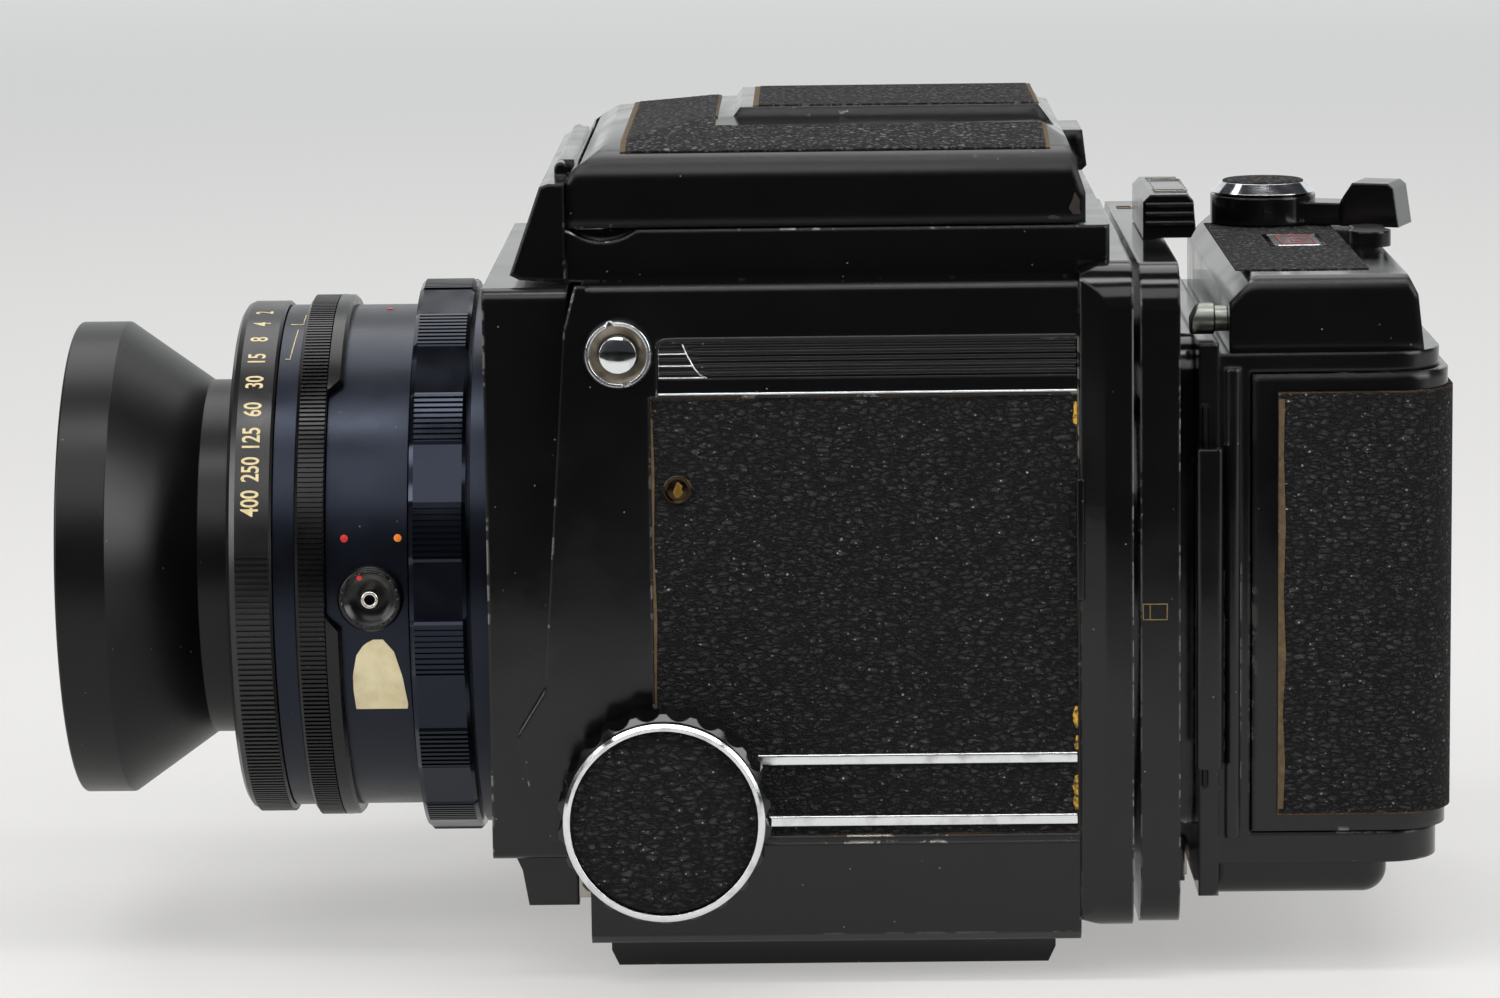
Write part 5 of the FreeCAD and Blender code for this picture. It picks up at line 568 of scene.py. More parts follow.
# Strap lugs
# Each lug is a slotted chromed ring screwed into the casting, with a dull brass cup in it and a domed
# chromed stud in the middle.
lug_chrome = bright_chrome("satin_chrome_lug", rough=(0.16, 0.32), dirt=0.5)
cup_metal = bright_chrome("tarnished_brass_cup", rough=(0.3, 0.5), dirt=0.9, colour="7c7366")
LUG_AT = (-33.6, 102.6)
LUG_RING = [(51.5, 4.5), (51.5, 5.35), (53.9, 5.4), (54.45, 5.1), (54.4, 4.6), (53.9, 4.5)]
LUG_CUP = [(51.8, 3.1), (51.8, 4.6), (54.0, 4.6), (53.3, 3.8), (53.0, 3.1)]
LUG_STUD = [(51.8, 3.05), (54.3, 3.05), (54.7, 2.9), (54.9, 2.4), (55.05, 1.7), (55.14, 0.9), (55.18, 0)]
LUG_SLOTS = (105, -75)
SLOT_HALF_TURN = 4.5
SLOT_FLOOR = 53.2
for side, sign in SIDES:
    lug_ring = turn_outwards(f"lug_ring_{side}", LUG_RING, *LUG_AT, sign, closed=True, rounding=0)
    for corner in lug_ring.data.vertices:
        around = angle_about(corner.co, LUG_AT)
        if any(abs((around - slot + 180) % 360 - 180) < SLOT_HALF_TURN for slot in LUG_SLOTS):
            corner.co.y = sign * min(abs(corner.co.y), SLOT_FLOOR / 1000)
    soften(lug_ring, 0.08)
    join_camera(lug_ring, lug_chrome, "body")
    cup = turn_outwards(f"lug_cup_{side}", LUG_CUP, *LUG_AT, sign, closed=True)
    join_camera(cup, cup_metal, "body")
    stud = turn_outwards(f"lug_stud_{side}", LUG_STUD, *LUG_AT, sign, rounding=0)
    if side == "left":
        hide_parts("strap_lugs")
    join_camera(stud, trim_chrome, "body")

# Tripod bush, shafts and other bright steel
# The steel parts are turned, plain, and dull with handling.
worn_steel = bright_chrome("turned_steel_worn", rough=(0.2, 0.45), dirt=0.85, colour="a09c92")
dress(worn_steel, "tripod_bush", "focus_racks", "focus_shaft", "focus_pinions", "release_button",
      "magnifier_frame", "lower_slide_lock")

# Latch rod
# A short steel rod turned in two diameters works the latch of the magazine. Its front end is cut off
# slantwise and chamfered.
ROD_AT = (-42.0, 105.8)
ROD_SLANT = 0.45
ROD_NECK = 57.5
ROD_OUTLINE = [(62.8, 2.05), (60.75, 2.05), (60.75, 2.35), (60.6, 2.5), (57.2, 2.5), (56.9, 2.2), (56.9, 0)]
rod = turn_piece("latch_rod", ROD_OUTLINE, centre=(0, *ROD_AT), sides=64, closed=False, rounding=0)
for corner in rod.data.vertices:
    if corner.co.x < ROD_NECK / 1000:
        corner.co.x += ROD_SLANT * max(0, corner.co.z - ROD_AT[1] / 1000)
soften(rod, 0.08)
face_outwards()
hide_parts("latch_pin")
rod_steel = bright_chrome("tarnished_turned_steel", rough=(0.3, 0.5), dirt=0.6, colour="8c8e88")
join_camera(rod, rod_steel, "revolving_back")

# Focusing knobs
# Each knob is a scalloped black wheel with a chromed ring turned into its face and a leatherette disc
# inside the ring. They sit on the ends of the cross shaft.
KNOB_AT = (-27.1, 30)
KNOB_DISC = [(63.8, 14.7), (65.2, 14.7), (65.5, 14.3), (65.7, 12), (65.8, 7), (65.85, 0)]
knob_black = black_enamel("gloss_enamel_knobs", wear=0.45, soft_edge=0.35)
dress(knob_black, "focus_knobs", "focus_lock_lever", "release_collar")
dress(trim_chrome, "knob_rings")
knob_vinyl = leatherette("vinyl_leatherette_knobs", wrinkle=(1.9, 0.85, 0.85), raw_edge=0.4)
for side, sign in SIDES:
    disc = turn_outwards(f"knob_leather_{side}", KNOB_DISC, *KNOB_AT, sign)
    join_camera(disc, knob_vinyl, "focus_drive")


# Lens barrel
# The barrel is turned from light alloy and anodised a satin blue black. It ends at the front in a narrow
# collar between the two rings and, inside, in the thread that holds the front bezel.
def anodised(name, colour, rough=0.38, lathe_pitch=0.35, bump=0.1, sheen="ffffff", ior=1.46, haze=0.06):
    finish, add, shader = new_finish(name, IOR=ior, Specular_Tint=srgb(sheen))
    place = add("TexCoord").outputs["Object"]
    turning = add("Mapping", {"Vector": place, "Scale": (1000 / lathe_pitch, 12, 12)})
    lines = add("TexNoise", {"Vector": turning, "Scale": 1, "Detail": 2})
    wipe = add("TexNoise", {"Vector": place, "Scale": 1000 / 9, "Detail": 5})
    dark, light = (srgb(code) for code in colour)
    tint = add("Mix", {0: wipe, 6: dark, 7: light}, data_type="RGBA")
    dust = add_specks(add, place, gap=4, size=(0.04, 0.02), share=0.4)
    colour_out = add("Mix", {0: dust, 6: tint.outputs[2], 7: srgb("8f8f8c")}, data_type="RGBA")
    gloss = add("MapRange", {"Value": wipe, "From Min": 0.3, "From Max": 0.7, "To Min": rough - haze,
                             "To Max": rough + haze})
    skin = add("Bump", {"Strength": bump, "Distance": 0.00003, "Height": lines})
    fill(shader, {"Base Color": colour_out.outputs[2], "Roughness": gloss, "Normal": skin})
    return finish


LENS_AXIS = (0, 0, 62.2)
AXIS_UP = LENS_AXIS[2] / 1000
blue_black = anodised("satin_anodised_blue_black", ("06070b", "090b12"), rough=0.31, lathe_pitch=0.18,
                      sheen="c6d2f2")
breech_black = anodised("gloss_anodised_blue_black", ("05060a", "080a10"), rough=0.19, lathe_pitch=0.18,
                        sheen="c6d2f2")
barrel = turn_piece("barrel_shell", [
    (-51.1, 26), (-51.1, 33.95), (-67.7, 33.95), (-67.7, 41), (-68.3, 41), (-68.3, 41.9), (-81.6, 41.9),
    (-81.6, 40.1), (-86.5, 40.1), (-86.5, 42), (-90.1, 42), (-90.1, 40.1), (-97.4, 40.1), (-97.4, 38.5),
    (-93.7, 38.5), (-93.7, 29), (-86.7, 29), (-86.7, 24), (-56, 24), (-56, 26),
], centre=LENS_AXIS, sides=192, rounding=0.2)
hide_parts("lens_barrel")
join_camera(barrel, blue_black, "standard")
flange = turn_piece("flange_ring", [
    (-55.1, 34), (-55.1, 45), (-58.2, 45), (-58.2, 41), (-67.7, 41), (-67.7, 34),
], centre=LENS_AXIS, sides=192)
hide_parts("lens_flange")
join_camera(flange, blue_black, "standard")

# Breech ring
# A wide turned ring that locks the lens to the standard. Fifteen raised pads round it carry nine fine ribs
# each, for grip, and the glossy flats between them are milled straight.
PADS = 15
FIRST_PAD = 13.8
RIB_TURN = 0.6
RIB_ROOM = 5.4
RIB_DEPTH = 0.34
FLAT_HALF_TURN = math.radians(6.6)
FLAT_DEPTH = 45.95
FLAT_EASE = 0.12
breech = turn_piece("breech_grip_ring", [
    (-58.8, 41.05), (-58.8, 45.7), (-59.4, 46.35), (-67.2, 46.35), (-67.9, 45.6), (-67.9, 41.05),
], centre=LENS_AXIS, sides=600, rounding=0)


def round_the_lens(spot):
    """The angle of a place round the lens, in degrees up from the left hand side."""
    return math.degrees(math.atan2(spot.z - AXIS_UP, -spot.y))


def from_axis(spot):
    """How far a place is from the middle of the lens, in millimetres."""
    return 1000 * math.hypot(spot.y, spot.z - AXIS_UP)


def on_grip(spot, low, high):
    return low < spot.x * 1000 < high


def raise_faces(ring, height, test):
    """Push the faces that pass the test out of a turned ring, by millimetres, and shade the ring."""
    pick_faces(ring, test)
    bpy.ops.mesh.extrude_region_shrink_fatten(TRANSFORM_OT_shrink_fatten={"value": height / 1000})
    face_outwards()
    bpy.ops.object.shade_smooth_by_angle(angle=math.radians(20))


for corner in breech.data.vertices:
    off_pad = (round_the_lens(corner.co) - FIRST_PAD) % (360 / PADS) - 180 / PADS
    if abs(math.radians(off_pad)) < FLAT_HALF_TURN and from_axis(corner.co) > 45:
        straight = FLAT_DEPTH * math.cos(FLAT_HALF_TURN) / math.cos(math.radians(off_pad)) + FLAT_EASE
        shrink = min(1, straight / from_axis(corner.co))
        corner.co.y *= shrink
        corner.co.z = AXIS_UP + (corner.co.z - AXIS_UP) * shrink
raise_faces(breech, -RIB_DEPTH, lambda spot, out: on_grip(spot, -67.3, -59.3) and from_axis(spot) > 46.1
            and (round_the_lens(spot) - FIRST_PAD + RIB_ROOM) % (360 / PADS) < 2 * RIB_ROOM
            and (round_the_lens(spot) - FIRST_PAD + RIB_ROOM) % (2 * RIB_TURN) < RIB_TURN)
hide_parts("breech_ring")
join_camera(breech, breech_black, "breech_lock")

# Aperture ring
# A straight knurled ring that turns on the barrel, with a plain skirt behind it. The skirt is milled away
# beside the flash socket, so that a plug clears it.
grip_black = anodised("satin_anodised_black", ("050506", "0a0a0b"), rough=0.27, ior=1.4)
KNURLS = 330
KNURL_HEIGHT = 0.3
SKIRT_CUT = (-7, 50)
SKIRT_RAMP = 3
SKIRT_END = -81.65
aperture = turn_piece("aperture_grip_ring", [
    (-81.7, 40.1), (-81.7, 41.98), (-79.2, 41.98), (-79.2, 43.1), (-79.7, 43.6), (-81.6, 43.7),
    (-81.8, 43.35), (-85.9, 43.35), (-86.4, 42.9), (-86.4, 40.1),
], centre=LENS_AXIS, sides=KNURLS * 2, rounding=0)
for corner in aperture.data.vertices:
    angle = round_the_lens(corner.co)
    if corner.co.x > SKIRT_END / 1000 and SKIRT_CUT[0] < angle < SKIRT_CUT[1]:
        ramp = min(1, (angle - SKIRT_CUT[0]) / SKIRT_RAMP, (SKIRT_CUT[1] - angle) / SKIRT_RAMP)
        corner.co.x += (SKIRT_END / 1000 - corner.co.x) * ramp
raise_faces(aperture, KNURL_HEIGHT, lambda spot, out: on_grip(spot, -85.9, -81.75) and from_axis(spot) > 43.2
            and round_the_lens(spot) % (360 / KNURLS) < 180 / KNURLS)
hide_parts("aperture_ring")
join_camera(aperture, grip_black, "aperture_control")

# Speed ring
# The gloss black front ring: plain where the shutter speeds are engraved, and knurled over the rest.
speed_black = anodised("gloss_anodised_black", ("101010", "161616"), rough=0.3, bump=0.02)
SPEED_KNURLS = 280
SPEED_KNURL_HEIGHT = 0.32
PLAIN_PART = (10.6, 150)
speed = turn_piece("speed_grip_ring", [
    (-90.2, 40.15), (-90.2, 42.3), (-90.6, 42.7), (-96.1, 42.7), (-97.0, 42.3), (-97.6, 41.4),
    (-97.7, 40.15),
], centre=LENS_AXIS, sides=SPEED_KNURLS * 2, rounding=0)
raise_faces(speed, SPEED_KNURL_HEIGHT, lambda spot, out: on_grip(spot, -96.2, -90.5) and out.x ** 2 < 0.1
            and from_axis(spot) > 42 and not PLAIN_PART[0] < round_the_lens(spot) < PLAIN_PART[1]
            and round_the_lens(spot) % (360 / SPEED_KNURLS) < 180 / SPEED_KNURLS)
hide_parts("speed_ring")
join_camera(speed, speed_black, "speed_control")

# Shutter speeds
# The figures are engraved round the speed ring and filled with ivory paint. They read upwards, on the
# left side of the lens.
ivory = mottled("ivory_filling_paint", 0.8, 3, ("a8946a", "e0cfa0"), Roughness=0.5)
SPEED_MARKS = (("400", 20.8), ("250", 28.4), ("125", 35.6), ("60", 43), ("30", 50.6), ("15", 58),
               ("8", 65.3), ("4", 72.3), ("2", 79.2))
SPEED_RADIUS = 42.74
MARK_PLACE = -93.5
MARK_NARROWING = 0.72
FIGURE_HEIGHT = 4
FIGURE_SPREAD = 0.06
for figure, angle in SPEED_MARKS:
    mark = add_object(f"speed_mark_{figure}", bpy.ops.object.text_add, location=(0, 0, 0))
    mark.data.body = figure
    mark.data.size = FIGURE_HEIGHT / 1000
    mark.data.align_x = "CENTER"
    mark.data.align_y = "CENTER"
    mark.data.offset = FIGURE_SPREAD / 1000
    bpy.ops.object.convert(target="MESH")
    mark = bpy.context.active_object
    for corner in mark.data.vertices:
        turn = math.radians(angle) + corner.co.x * MARK_NARROWING / (SPEED_RADIUS / 1000)
        corner.co = (MARK_PLACE / 1000 - corner.co.y, -SPEED_RADIUS / 1000 * math.cos(turn),
                     AXIS_UP + SPEED_RADIUS / 1000 * math.sin(turn))
    join_camera(mark, ivory, "speed_control")


# Index dots on the barrel
# A red and an orange paint dot mark the two places of the flash selector above its socket. They are
# brushed on and a little uneven.
def index_paint(name, code):
    finish, add, shader = new_finish(name, Base_Color=srgb(code), Roughness=0.4)
    grain = add("TexNoise", {"Scale": 1000 / 0.4})
    fill(shader, {"Normal": add("Bump", {"Strength": 0.2, "Distance": 0.00003, "Height": grain})})
    return finish


BARREL_RADIUS = 41.9 / 1000
DOT_TURN = math.radians(13)
for name, along, code in (("red_index_dot", -78.5, "b5201c"), ("orange_index_dot", -69.9, "e07a1c")):
    dot = turn_piece(name, [(-0.2, 0.62), (0.05, 0.62), (0.1, 0.4), (0.12, 0)], "y", sides=24, closed=False,
                     rounding=0)
    dot.rotation_euler = (-DOT_TURN, 0, 0)
    dot.scale = (1, -1, 1)
    dot.location = (along / 1000, -BARREL_RADIUS * math.cos(DOT_TURN),
                    AXIS_UP + BARREL_RADIUS * math.sin(DOT_TURN))
    bpy.ops.object.transform_apply()
    face_outwards()
    join_camera(dot, index_paint(name.replace("dot", "paint"), code), "standard")

# Flash socket
# A turned black collar, with a bright notched rim where the enamel has worn off, round a nickel tube with
# the socket's bore. A small red dot on its face shows which way the plug goes.
SOCKET_AT = (-74.35, 62.2)
NOTCHES = 16
NOTCH_TURN = 7.5
NOTCH_FLOOR = 44.1
worn_rim = black_enamel("gloss_enamel_socket_rim", wear=0.75, soft_edge=0.3)
collar = turn_outwards("socket_collar", [
    (40.2, 1.45), (40.2, 5.3), (43.5, 5.3), (44.1, 4.9), (44.2, 4.3), (43.6, 3.7), (43.0, 2.6), (42.9, 1.45),
], *SOCKET_AT, -1, closed=True)
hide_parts("sync_terminal")
join_camera(collar, grip_black, "standard")
rim = turn_outwards("socket_rim", [(43.9, 4.8), (44.38, 4.68), (44.4, 4.42), (44.1, 4.3)], *SOCKET_AT, -1,
                    closed=True, rounding=0)
for corner in rim.data.vertices:
    if angle_about(corner.co, SOCKET_AT) % (360 / NOTCHES) < NOTCH_TURN:
        corner.co.y = -min(NOTCH_FLOOR / 1000, -corner.co.y)
soften(rim, 0.03)
nickel = bright_chrome("nickel_plated_brass", rough=(0.15, 0.3), dirt=0.4, colour="d2cfc8")
join_camera(rim, worn_rim, "standard")
SOCKET_TUBE = [(41.7, 0.75), (41.7, 1.5), (44.3, 1.5), (44.6, 1.3), (44.6, 0.95), (44.2, 0.75)]
tube = turn_outwards("socket_tube", SOCKET_TUBE, *SOCKET_AT, -1, sides=48, closed=True)
join_camera(tube, nickel, "standard")
red_paint = index_paint("red_index_enamel", "b5201c")
SOCKET_DOT_AT = (SOCKET_AT[0] - 1.6, SOCKET_AT[1] + 3.6)
dot = turn_outwards("socket_dot", [(43.6, 0.42), (44.2, 0.42), (44.3, 0)], *SOCKET_DOT_AT, -1, sides=20,
                    rounding=0)
join_camera(dot, red_paint, "standard")


# Barrel marks
# Ivory index lines on the collar show how the rings are set against each other. A torn paper label is left
# on the side of the barrel, with nothing printed on it, and a red mark on top belongs to the depth scale.
def on_barrel(along, angle, radius=42.02):
    turn = math.radians(angle)
    return along, -radius * math.cos(turn), LENS_AXIS[2] + radius * math.sin(turn)


INDEX_LINES = (
    ((-89.1, 58.9), (-88.3, 58.8), (-88.1, 62), (-87.85, 66), (-87.6, 71)),
    ((-89.0, 73.9), (-86.9, 73.8), (-86.9, 76), (-86.8, 80.1)),
)
for count, run in enumerate(INDEX_LINES):
    line = draw_line(f"index_line_{count}", [on_barrel(*spot) for spot in run], 0.11)
    join_camera(line, ivory, "standard")
LABEL_RADIUS = 41.98
paper = mottled("cream_label_paper", 2.5, 5, ("c8b684", "f4ebc8"), bump=0.6, Roughness=0.6)
LABEL_EDGES = (
    ((-27.1, -77.5), (-22.0, -77.75), (-18.1, -77.7), (-13.3, -77.0), (-10.7, -75.7), (-9.6, -74.2)),
    ((-27.1, -69.2), (-25.8, -69.05), (-18.7, -69.7), (-12.5, -70.9), (-10.3, -72.2), (-9.6, -72.6)),
)
label = lay_patch("torn_label", *LABEL_EDGES, lambda along, angle: on_barrel(along, angle, LABEL_RADIUS),
                  cuts=(16, 24))
join_camera(label, paper, "standard")
mark = lay_patch("depth_mark", [(84.9, -73.8), (86.7, -73.5)], [(84.9, -72.8), (86.7, -72.9)],
                 lambda along, angle: on_barrel(along, angle, LABEL_RADIUS - 0.03), cuts=(4, 4))
join_camera(mark, red_paint, "standard")

# Lens hood
# A spun light alloy funnel, anodised satin black. It screws into the front thread by its neck.
hood_black = anodised("satin_anodised_hood", ("020203", "050506"), rough=0.34, lathe_pitch=0.5, bump=0.15,
                      ior=1.36, haze=0.015)
hood = turn_piece("hood_funnel", [
    (-94.95, 28.2), (-94.95, 38.4), (-97.2, 38.4), (-97.2, 29.6), (-103.6, 29.6), (-117.5, 39.5),
    (-125.3, 39.5), (-125.6, 39.2), (-125.6, 38.1), (-117.2, 38.1), (-103.0, 28.2),
], centre=LENS_AXIS, sides=192)
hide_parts("lens_hood")
join_camera(hood, hood_black, "standard")
dress(hood_black, "front_bezel")


# Lens elements
# Polished glass with a purple and amber coating that shows only in its reflections.
def polished_glass(name, tint, coat):
    finish, add, shader = new_finish(name, Base_Color=srgb(tint), Roughness=0.02, IOR=1.6,
                                     Transmission_Weight=1.0, Specular_Tint=srgb(coat))
    place = add("TexCoord").outputs["Object"]
    smear = add("TexNoise", {"Vector": place, "Scale": 1000 / 12, "Detail": 3})
    gloss = add("MapRange", {"Value": smear, "To Min": 0.0, "To Max": 0.06})
    fill(shader, {"Roughness": gloss})
    return finish


coated_glass = polished_glass("coated_lens_glass", "f2f4f6", "9a7ad0")
dress(coated_glass, "lens_glass", "magnifier_lens")

# Blades, mirror and screen
# Thin blued steel blades, a front silvered mirror on its carrier plate, and a ground glass screen.
blued_steel = bright_chrome("blued_sheet_steel", rough=(0.3, 0.45), dirt=0.2, colour="2c2d30")
dress(blued_steel, "aperture_blades", "shutter_blades", "dark_slide", "pressure_plate", "mirror_frame")
dress(bright_chrome("front_silvered_mirror", rough=(0.0, 0.04), dirt=0.02, colour="e6e8ea"), "mirror_glass")
ground, add, shader = new_finish("ground_glass_screen", Base_Color=srgb("dfe3e0"), IOR=1.5)
place = add("TexCoord").outputs["Object"]
frost = add("TexNoise", {"Vector": place, "Scale": 1000 / 0.3, "Detail": 2})
gloss = add("MapRange", {"Value": frost, "To Min": 0.45, "To Max": 0.7})
skin = add("Bump", {"Strength": 0.3, "Distance": 0.00003, "Height": frost})
fill(shader, {"Roughness": gloss, "Normal": skin})
dress(ground, "focusing_screen")

# Bellows
# Black coated cloth folded like a concertina between the standard and the body.
cloth = mottled("coated_bellows_cloth", 0.5, 2, ("0a0a0a", "1a1a1a"), bump=0.6, Roughness=0.85)
BELLOWS_FRONT = -51.1
BELLOWS_REAR = -31.8
BELLOWS_HALF = (38, 34)
PLEATS = 9
PLEAT_DEPTH = 3.6
CLOTH_THICK = 0.4
CORNER_ROUND = 4
pleats = add_object("bellows_pleats", bpy.ops.mesh.primitive_plane_add, size=2,
                    location=(BELLOWS_FRONT / 1000, 0, AXIS_UP), rotation=(0, math.radians(90), 0))
pleats.scale = (BELLOWS_HALF[1] / 1000, BELLOWS_HALF[0] / 1000, 1)
bpy.ops.object.transform_apply()
bpy.ops.object.mode_set(mode="EDIT")
bpy.ops.mesh.select_mode(type="VERT")
bpy.ops.mesh.select_all(action="SELECT")
bpy.ops.mesh.bevel(offset=CORNER_ROUND / 1000, segments=3, affect="VERTICES")
bpy.ops.mesh.select_all(action="SELECT")
bpy.ops.mesh.delete(type="ONLY_FACE")
bpy.ops.mesh.select_all(action="SELECT")
fold = (BELLOWS_REAR - BELLOWS_FRONT) / PLEATS / 2
shrink = [(half - PLEAT_DEPTH) / half for half in BELLOWS_HALF]
for step in range(2 * PLEATS):
    bpy.ops.mesh.extrude_region_move(TRANSFORM_OT_translate={"value": (fold / 1000, 0, 0)})
    grow = shrink if step % 2 == 0 else [1 / share for share in shrink]
    bpy.ops.transform.resize(value=(1, *grow), center_override=(0, 0, AXIS_UP))
face_outwards()
thicken(pleats, CLOTH_THICK, -1)
bpy.ops.object.shade_smooth_by_angle(angle=math.radians(30))
pleats.data.materials.clear()
pleats.data.materials.append(cloth)
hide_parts("bellows")
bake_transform(pleats)

# Finder leaves
# Thin sheet steel leaves, blackened dull, that fold flat under the lid.
dull_black = mottled("dull_black_paint", 0.6, 3, ("0c0c0c", "1b1b1b"), bump=0.3, depth=0.05, Roughness=0.55)
dress(dull_black, "wing_left", "wing_right", "rear_flap", "takeup_spool", "supply_spool", "counter_dial")
dress(trim_chrome, "wind_cap")

# Finder lid
# A deep drawn lid in gloss enamel, with soft rounded edges and a raised panel. It is hinged at the front.
lid_enamel = black_enamel("gloss_enamel_lid", wear=0.35, soft_edge=2.2)
lid = add_object("lid_shell", bpy.ops.mesh.primitive_plane_add, size=0.001)
lid.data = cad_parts["finder_lid"].data.copy()
bpy.ops.object.mode_set(mode="EDIT")
bpy.ops.mesh.select_mode(type="VERT")
bpy.ops.mesh.select_all(action="SELECT")
bpy.ops.mesh.remove_doubles(threshold=0.000005)
bpy.ops.mesh.dissolve_limited(angle_limit=math.radians(0.5))
face_outwards()
soften(lid, 0.9, segments=3, angle=15)
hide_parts("finder_lid")
join_camera(lid, lid_enamel, "lid")

# Lid leatherettes
# One sheet covers the top of the lid round the raised panel, and one covers the panel. Their cut edges
# show the golden brown backing.
# This leatherette is also used on the roof and the knob inlay. Its ridges are painted a lighter grey, a
# stronger painted highlight for top faces seen at a glancing angle.
lid_vinyl = leatherette("vinyl_leatherette_lid", wrinkle=(1.1, 1.1, 1.1), raw_edge=0.2, depth=0.4,
                        ridge_highlight="5c5c5c")
LID_SIDE_VIEW = ((-41.8, 129), (-40.4, 131.1), (-36, 134), (-19.4, 136.8), (31.4, 137.3), (37.7, 134.3),
                 (40.3, 125))
LID_END_VIEW = ((0, 137.3), (20, 136.9), (41.6, 133.5), (44, 132.3), (45, 130))


def lid_top(along, across):
    return min(read_line(LID_SIDE_VIEW, along), read_line(LID_END_VIEW, abs(across)))


def flat_at(height):
    return lambda along, across: height


def lay_sheet(name, low, high, surface, thick=0.3, step=1.5):
    """A thin sheet cut between two corners and pressed down onto a surface, in millimetres."""
    cuts = [max(2, round((b - a) / step)) for a, b in zip(low, high)]
    sheet = add_object(name, bpy.ops.mesh.primitive_grid_add, x_subdivisions=cuts[0], y_subdivisions=cuts[1],
                       size=1)
    middle = [(a + b) / 2 for a, b in zip(low, high)]
    for corner in sheet.data.vertices:
        spot = [m + (b - a) * c for m, a, b, c in zip(middle, low, high, corner.co)]
        corner.co = (spot[0] / 1000, spot[1] / 1000, (surface(*spot) + thick) / 1000)
    thicken(sheet, thick + 0.05, -1)
    bpy.ops.object.shade_smooth_by_angle(angle=math.radians(40))
    return sheet


LID_SHEETS = (
    ("lid_leather_front", (-32.3, -42.2), (-18.4, 42.2)),
    ("lid_leather_near", (-18.4, -42.2), (34.2, -27)),
    ("lid_leather_far", (-18.4, 27), (34.2, 42.2)),
)
for name, low, high in LID_SHEETS:
    join_camera(lay_sheet(name, low, high, lid_top), lid_vinyl, "lid")
RIDGE_TOP = 138.3
panel = lay_sheet("ridge_leather", (-11.4, -18.6), (33.4, 18.6), flat_at(RIDGE_TOP))
join_camera(panel, lid_vinyl, "lid")
LID_RAW_EDGES = (
    ("lid_raw_front", (-33.2, -42.2), (-32.2, 42.2), lid_top),
    ("lid_raw_ridge", (-18.9, -20.4), (-18.0, 20.4), lid_top),
    ("lid_raw_rear_near", (34.1, -42.2), (34.9, -27), lid_top),
    ("lid_raw_rear_far", (34.1, 27), (34.9, 42.2), lid_top),
    ("ridge_raw_front", (-12.3, -18.6), (-11.3, 18.6), flat_at(RIDGE_TOP)),
    ("ridge_raw_rear", (33.3, -18.6), (34.1, 18.6), flat_at(RIDGE_TOP)),
)
for name, low, high, surface in LID_RAW_EDGES:
    join_camera(lay_sheet(name, low, high, surface, thick=0.2), raw_backing, "lid")

# Magazine top
# A leatherette sheet lies in the roof round the counter window. The window has a black frame, and nested
# red and grey outlines mark the frame's shape on the dial below.
ROOF = 113.0
ROOF_SHEETS = (
    ("roof_leather_near", (64.4, -39), (85.6, -7.2)),
    ("roof_leather_front", (64.4, -7.2), (72.6, 30)),
    ("roof_leather_rear", (82.4, -7.2), (85.6, 30)),
    ("roof_leather_far", (72.6, 11.2), (82.4, 30)),
)
for name, low, high in ROOF_SHEETS:
    sheet = lay_sheet(name, low, high, flat_at(ROOF), thick=0.2)
    join_camera(sheet, lid_vinyl, "revolving_back")
WINDOW_FRAME = (
    ("window_frame_near", (72.6, -7.2), (82.4, -6.2)),
    ("window_frame_far", (72.6, 10.2), (82.4, 11.2)),
    ("window_frame_front", (72.6, -7.2), (73.6, 11.2)),
    ("window_frame_rear", (81.4, -7.2), (82.4, 11.2)),
)
for name, low, high in WINDOW_FRAME:
    bar = cut_bar(name, (*low, ROOF - 0.3), (*high, ROOF + 0.24), 0.1)
    join_camera(bar, body_enamel, "revolving_back")
pane_grey = mottled("painted_window_pane", 3, 4, ("2c2b2b", "6c6868"), Roughness=0.25)
pane = lay_sheet("window_pane", (73.5, -6.3), (81.5, 10.3), flat_at(ROOF), thick=0.1)
join_camera(pane, pane_grey, "revolving_back")
window_red = mottled("faded_red_paint", 1.2, 3, ("4c1c1c", "94403e"), Roughness=0.5)
WINDOW_OUTLINES = (
    ("window_red_outline", (74.9, -3.2, 80.5, 8.8), 0.2),
    ("window_inner_outline", (76.9, 0.6, 78.9, 5.0), 0.1),
)
for name, (near, left, far, right), radius in WINDOW_OUTLINES:
    corners = ((near, left), (far, left), (far, right), (near, right))
    ring = draw_line(name, [(*corner, ROOF + 0.12) for corner in corners], radius, closed=True)
    join_camera(ring, window_red, "revolving_back")
bead = draw_line("window_bead", [(74.2, -5.0, ROOF), (81.0, -5.0, ROOF)], 0.22)
join_camera(bead, trim_chrome, "revolving_back")

# Winding knob
# The knob's cap is a bevelled chromed disc with a leatherette inlay.
CAP_TOP = (74.5, 30, 120.4)
INLAY_OUTLINE = [(-0.3, 6.9), (0.15, 6.9), (0.3, 6.6), (0.35, 3), (0.35, 0)]
inlay = turn_piece("wind_knob_leather", INLAY_OUTLINE, "z", CAP_TOP, sides=64, closed=False, rounding=0)
join_camera(inlay, lid_vinyl, "winder")

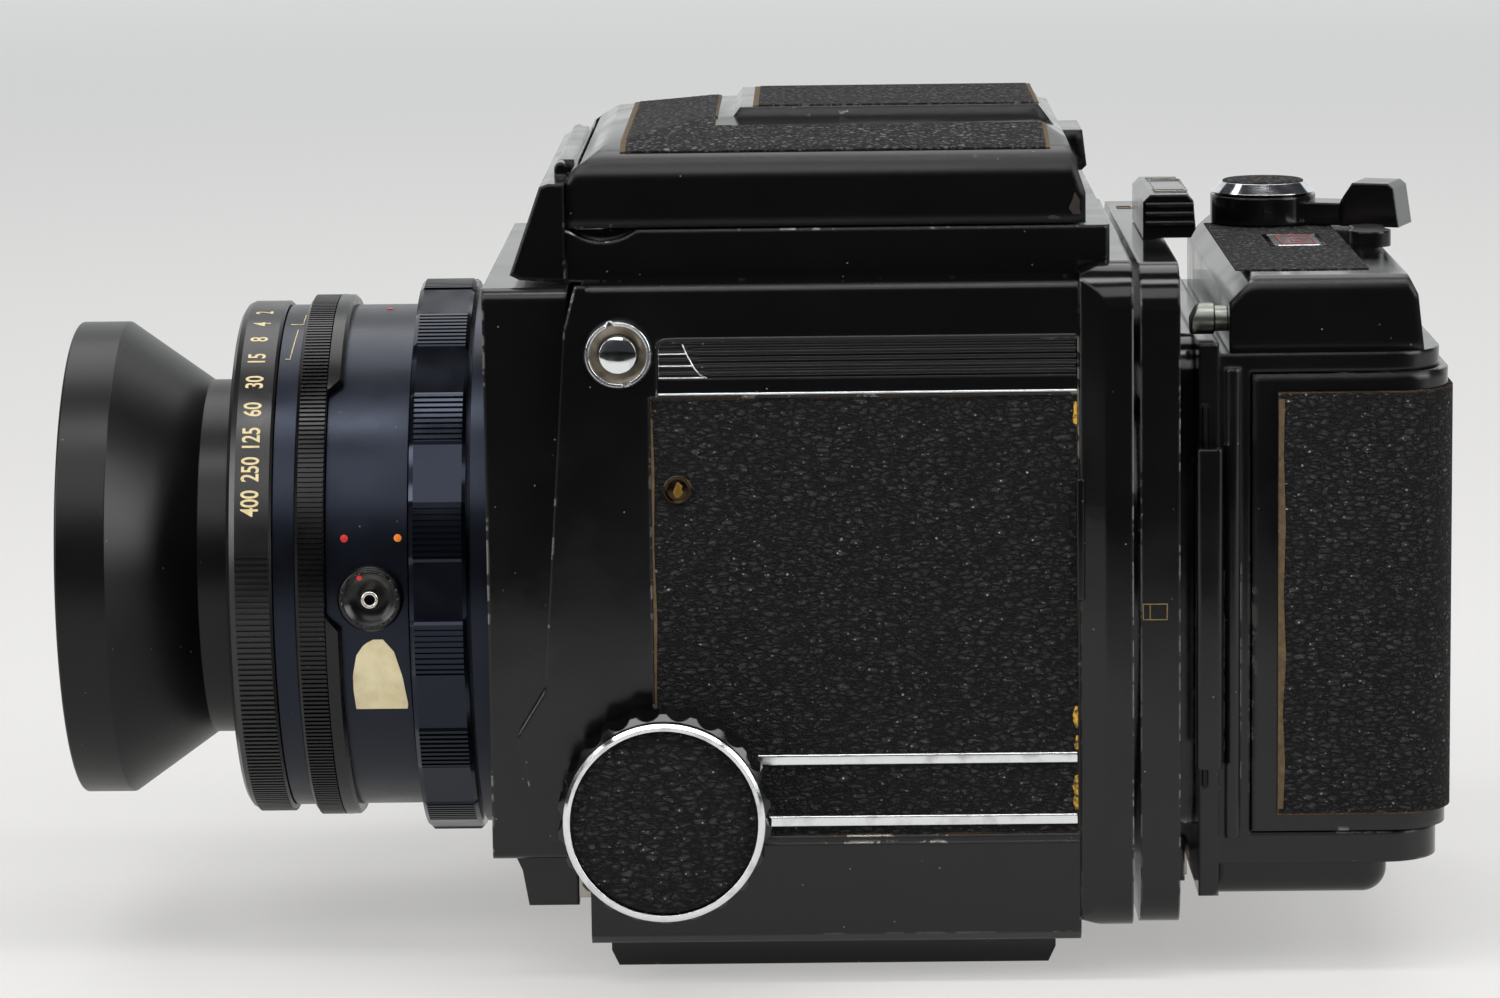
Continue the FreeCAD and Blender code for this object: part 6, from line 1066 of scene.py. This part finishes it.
# Setting marks
# Small gold outlines on the side and on top of the back show how the magazine is turned. The slide lock
# carries a worn outline on its top.
gold = mottled("gold_filling_paint", 0.8, 3, ("2c220e", "7c6234"), Roughness=0.4)
SIDE_FACE = -53.22
SETTING_MARKS = (
    ("side_setting_mark", ((48.8, SIDE_FACE, 59.3), (52.6, SIDE_FACE, 59.3), (52.6, SIDE_FACE, 61.8),
                           (48.8, SIDE_FACE, 61.8)), 0.13),
    ("side_setting_bar", ((49.9, SIDE_FACE, 59.3), (49.9, SIDE_FACE, 61.8)), 0.1),
    ("top_setting_mark", ((49.8, 34.6, 115.42), (52.2, 34.6, 115.42), (52.2, 37.4, 115.42),
                          (49.8, 37.4, 115.42)), 0.12),
)
for name, corners, radius in SETTING_MARKS:
    mark = draw_line(name, corners, radius, closed=len(corners) > 2)
    join_camera(mark, gold, "revolving_back")
LOCK_TOP = 122.8
LOCK_CORNERS = ((53.6, -9), (58.8, -9), (58.8, 10), (53.6, 10))
mark = draw_line("lock_outline", [(*corner, LOCK_TOP) for corner in LOCK_CORNERS], 0.14, closed=True)
join_camera(mark, worn_steel, "upper_lock")
RIB_HEIGHTS = (121.1, 119.6, 118.1)
RIB_HALF = 0.42
for count, up in enumerate(RIB_HEIGHTS):
    rib = cut_bar(f"lock_rib_{count}", (51.5, -15.35, up - RIB_HALF), (59.5, -14.6, up + RIB_HALF), 0.25)
    join_camera(rib, small_enamel, "upper_lock")
DOOR_SIDE = -50.86
DOOR_WEAR = [(28, 71.2), (35, 71.5), (44, 71.1), (52, 71.6), (63, 71.2), (74, 71.5), (85, 71.15), (94, 71.3)]
worn = lay_patch("door_worn_edge", [(28, 70.35), (94, 70.35)], DOOR_WEAR, on_side(DOOR_SIDE), cuts=(3, 30))
join_camera(worn, raw_backing, "door")

# Rust chips
# Small chips in the enamel at the corners of the lid show red primer and brown rust.
rust = mottled("rust_and_red_primer", 0.5, 4, ("080403", "26130d"), bump=1, Roughness=0.7)
LID_SIDE = -45.03
CHIPS = (
    ("chip_lid_rear", ((123.0, 38.3), (124.0, 37.6), (125.2, 38.2), (126.4, 38.5)),
     ((123.0, 39.6), (124.0, 39.3), (125.2, 39.4), (126.4, 38.7))),
    ("chip_lid_edge", ((122.3, 34.6), (122.6, 34.2), (122.9, 34.9)),
     ((122.3, 36.4), (122.6, 36.2), (122.9, 35.3))),
)
for name, left_edge, right_edge in CHIPS:
    chip = lay_patch(name, left_edge, right_edge, on_side(LID_SIDE), cuts=(6, 12), thick=0.06)
    join_camera(chip, rust, "lid")
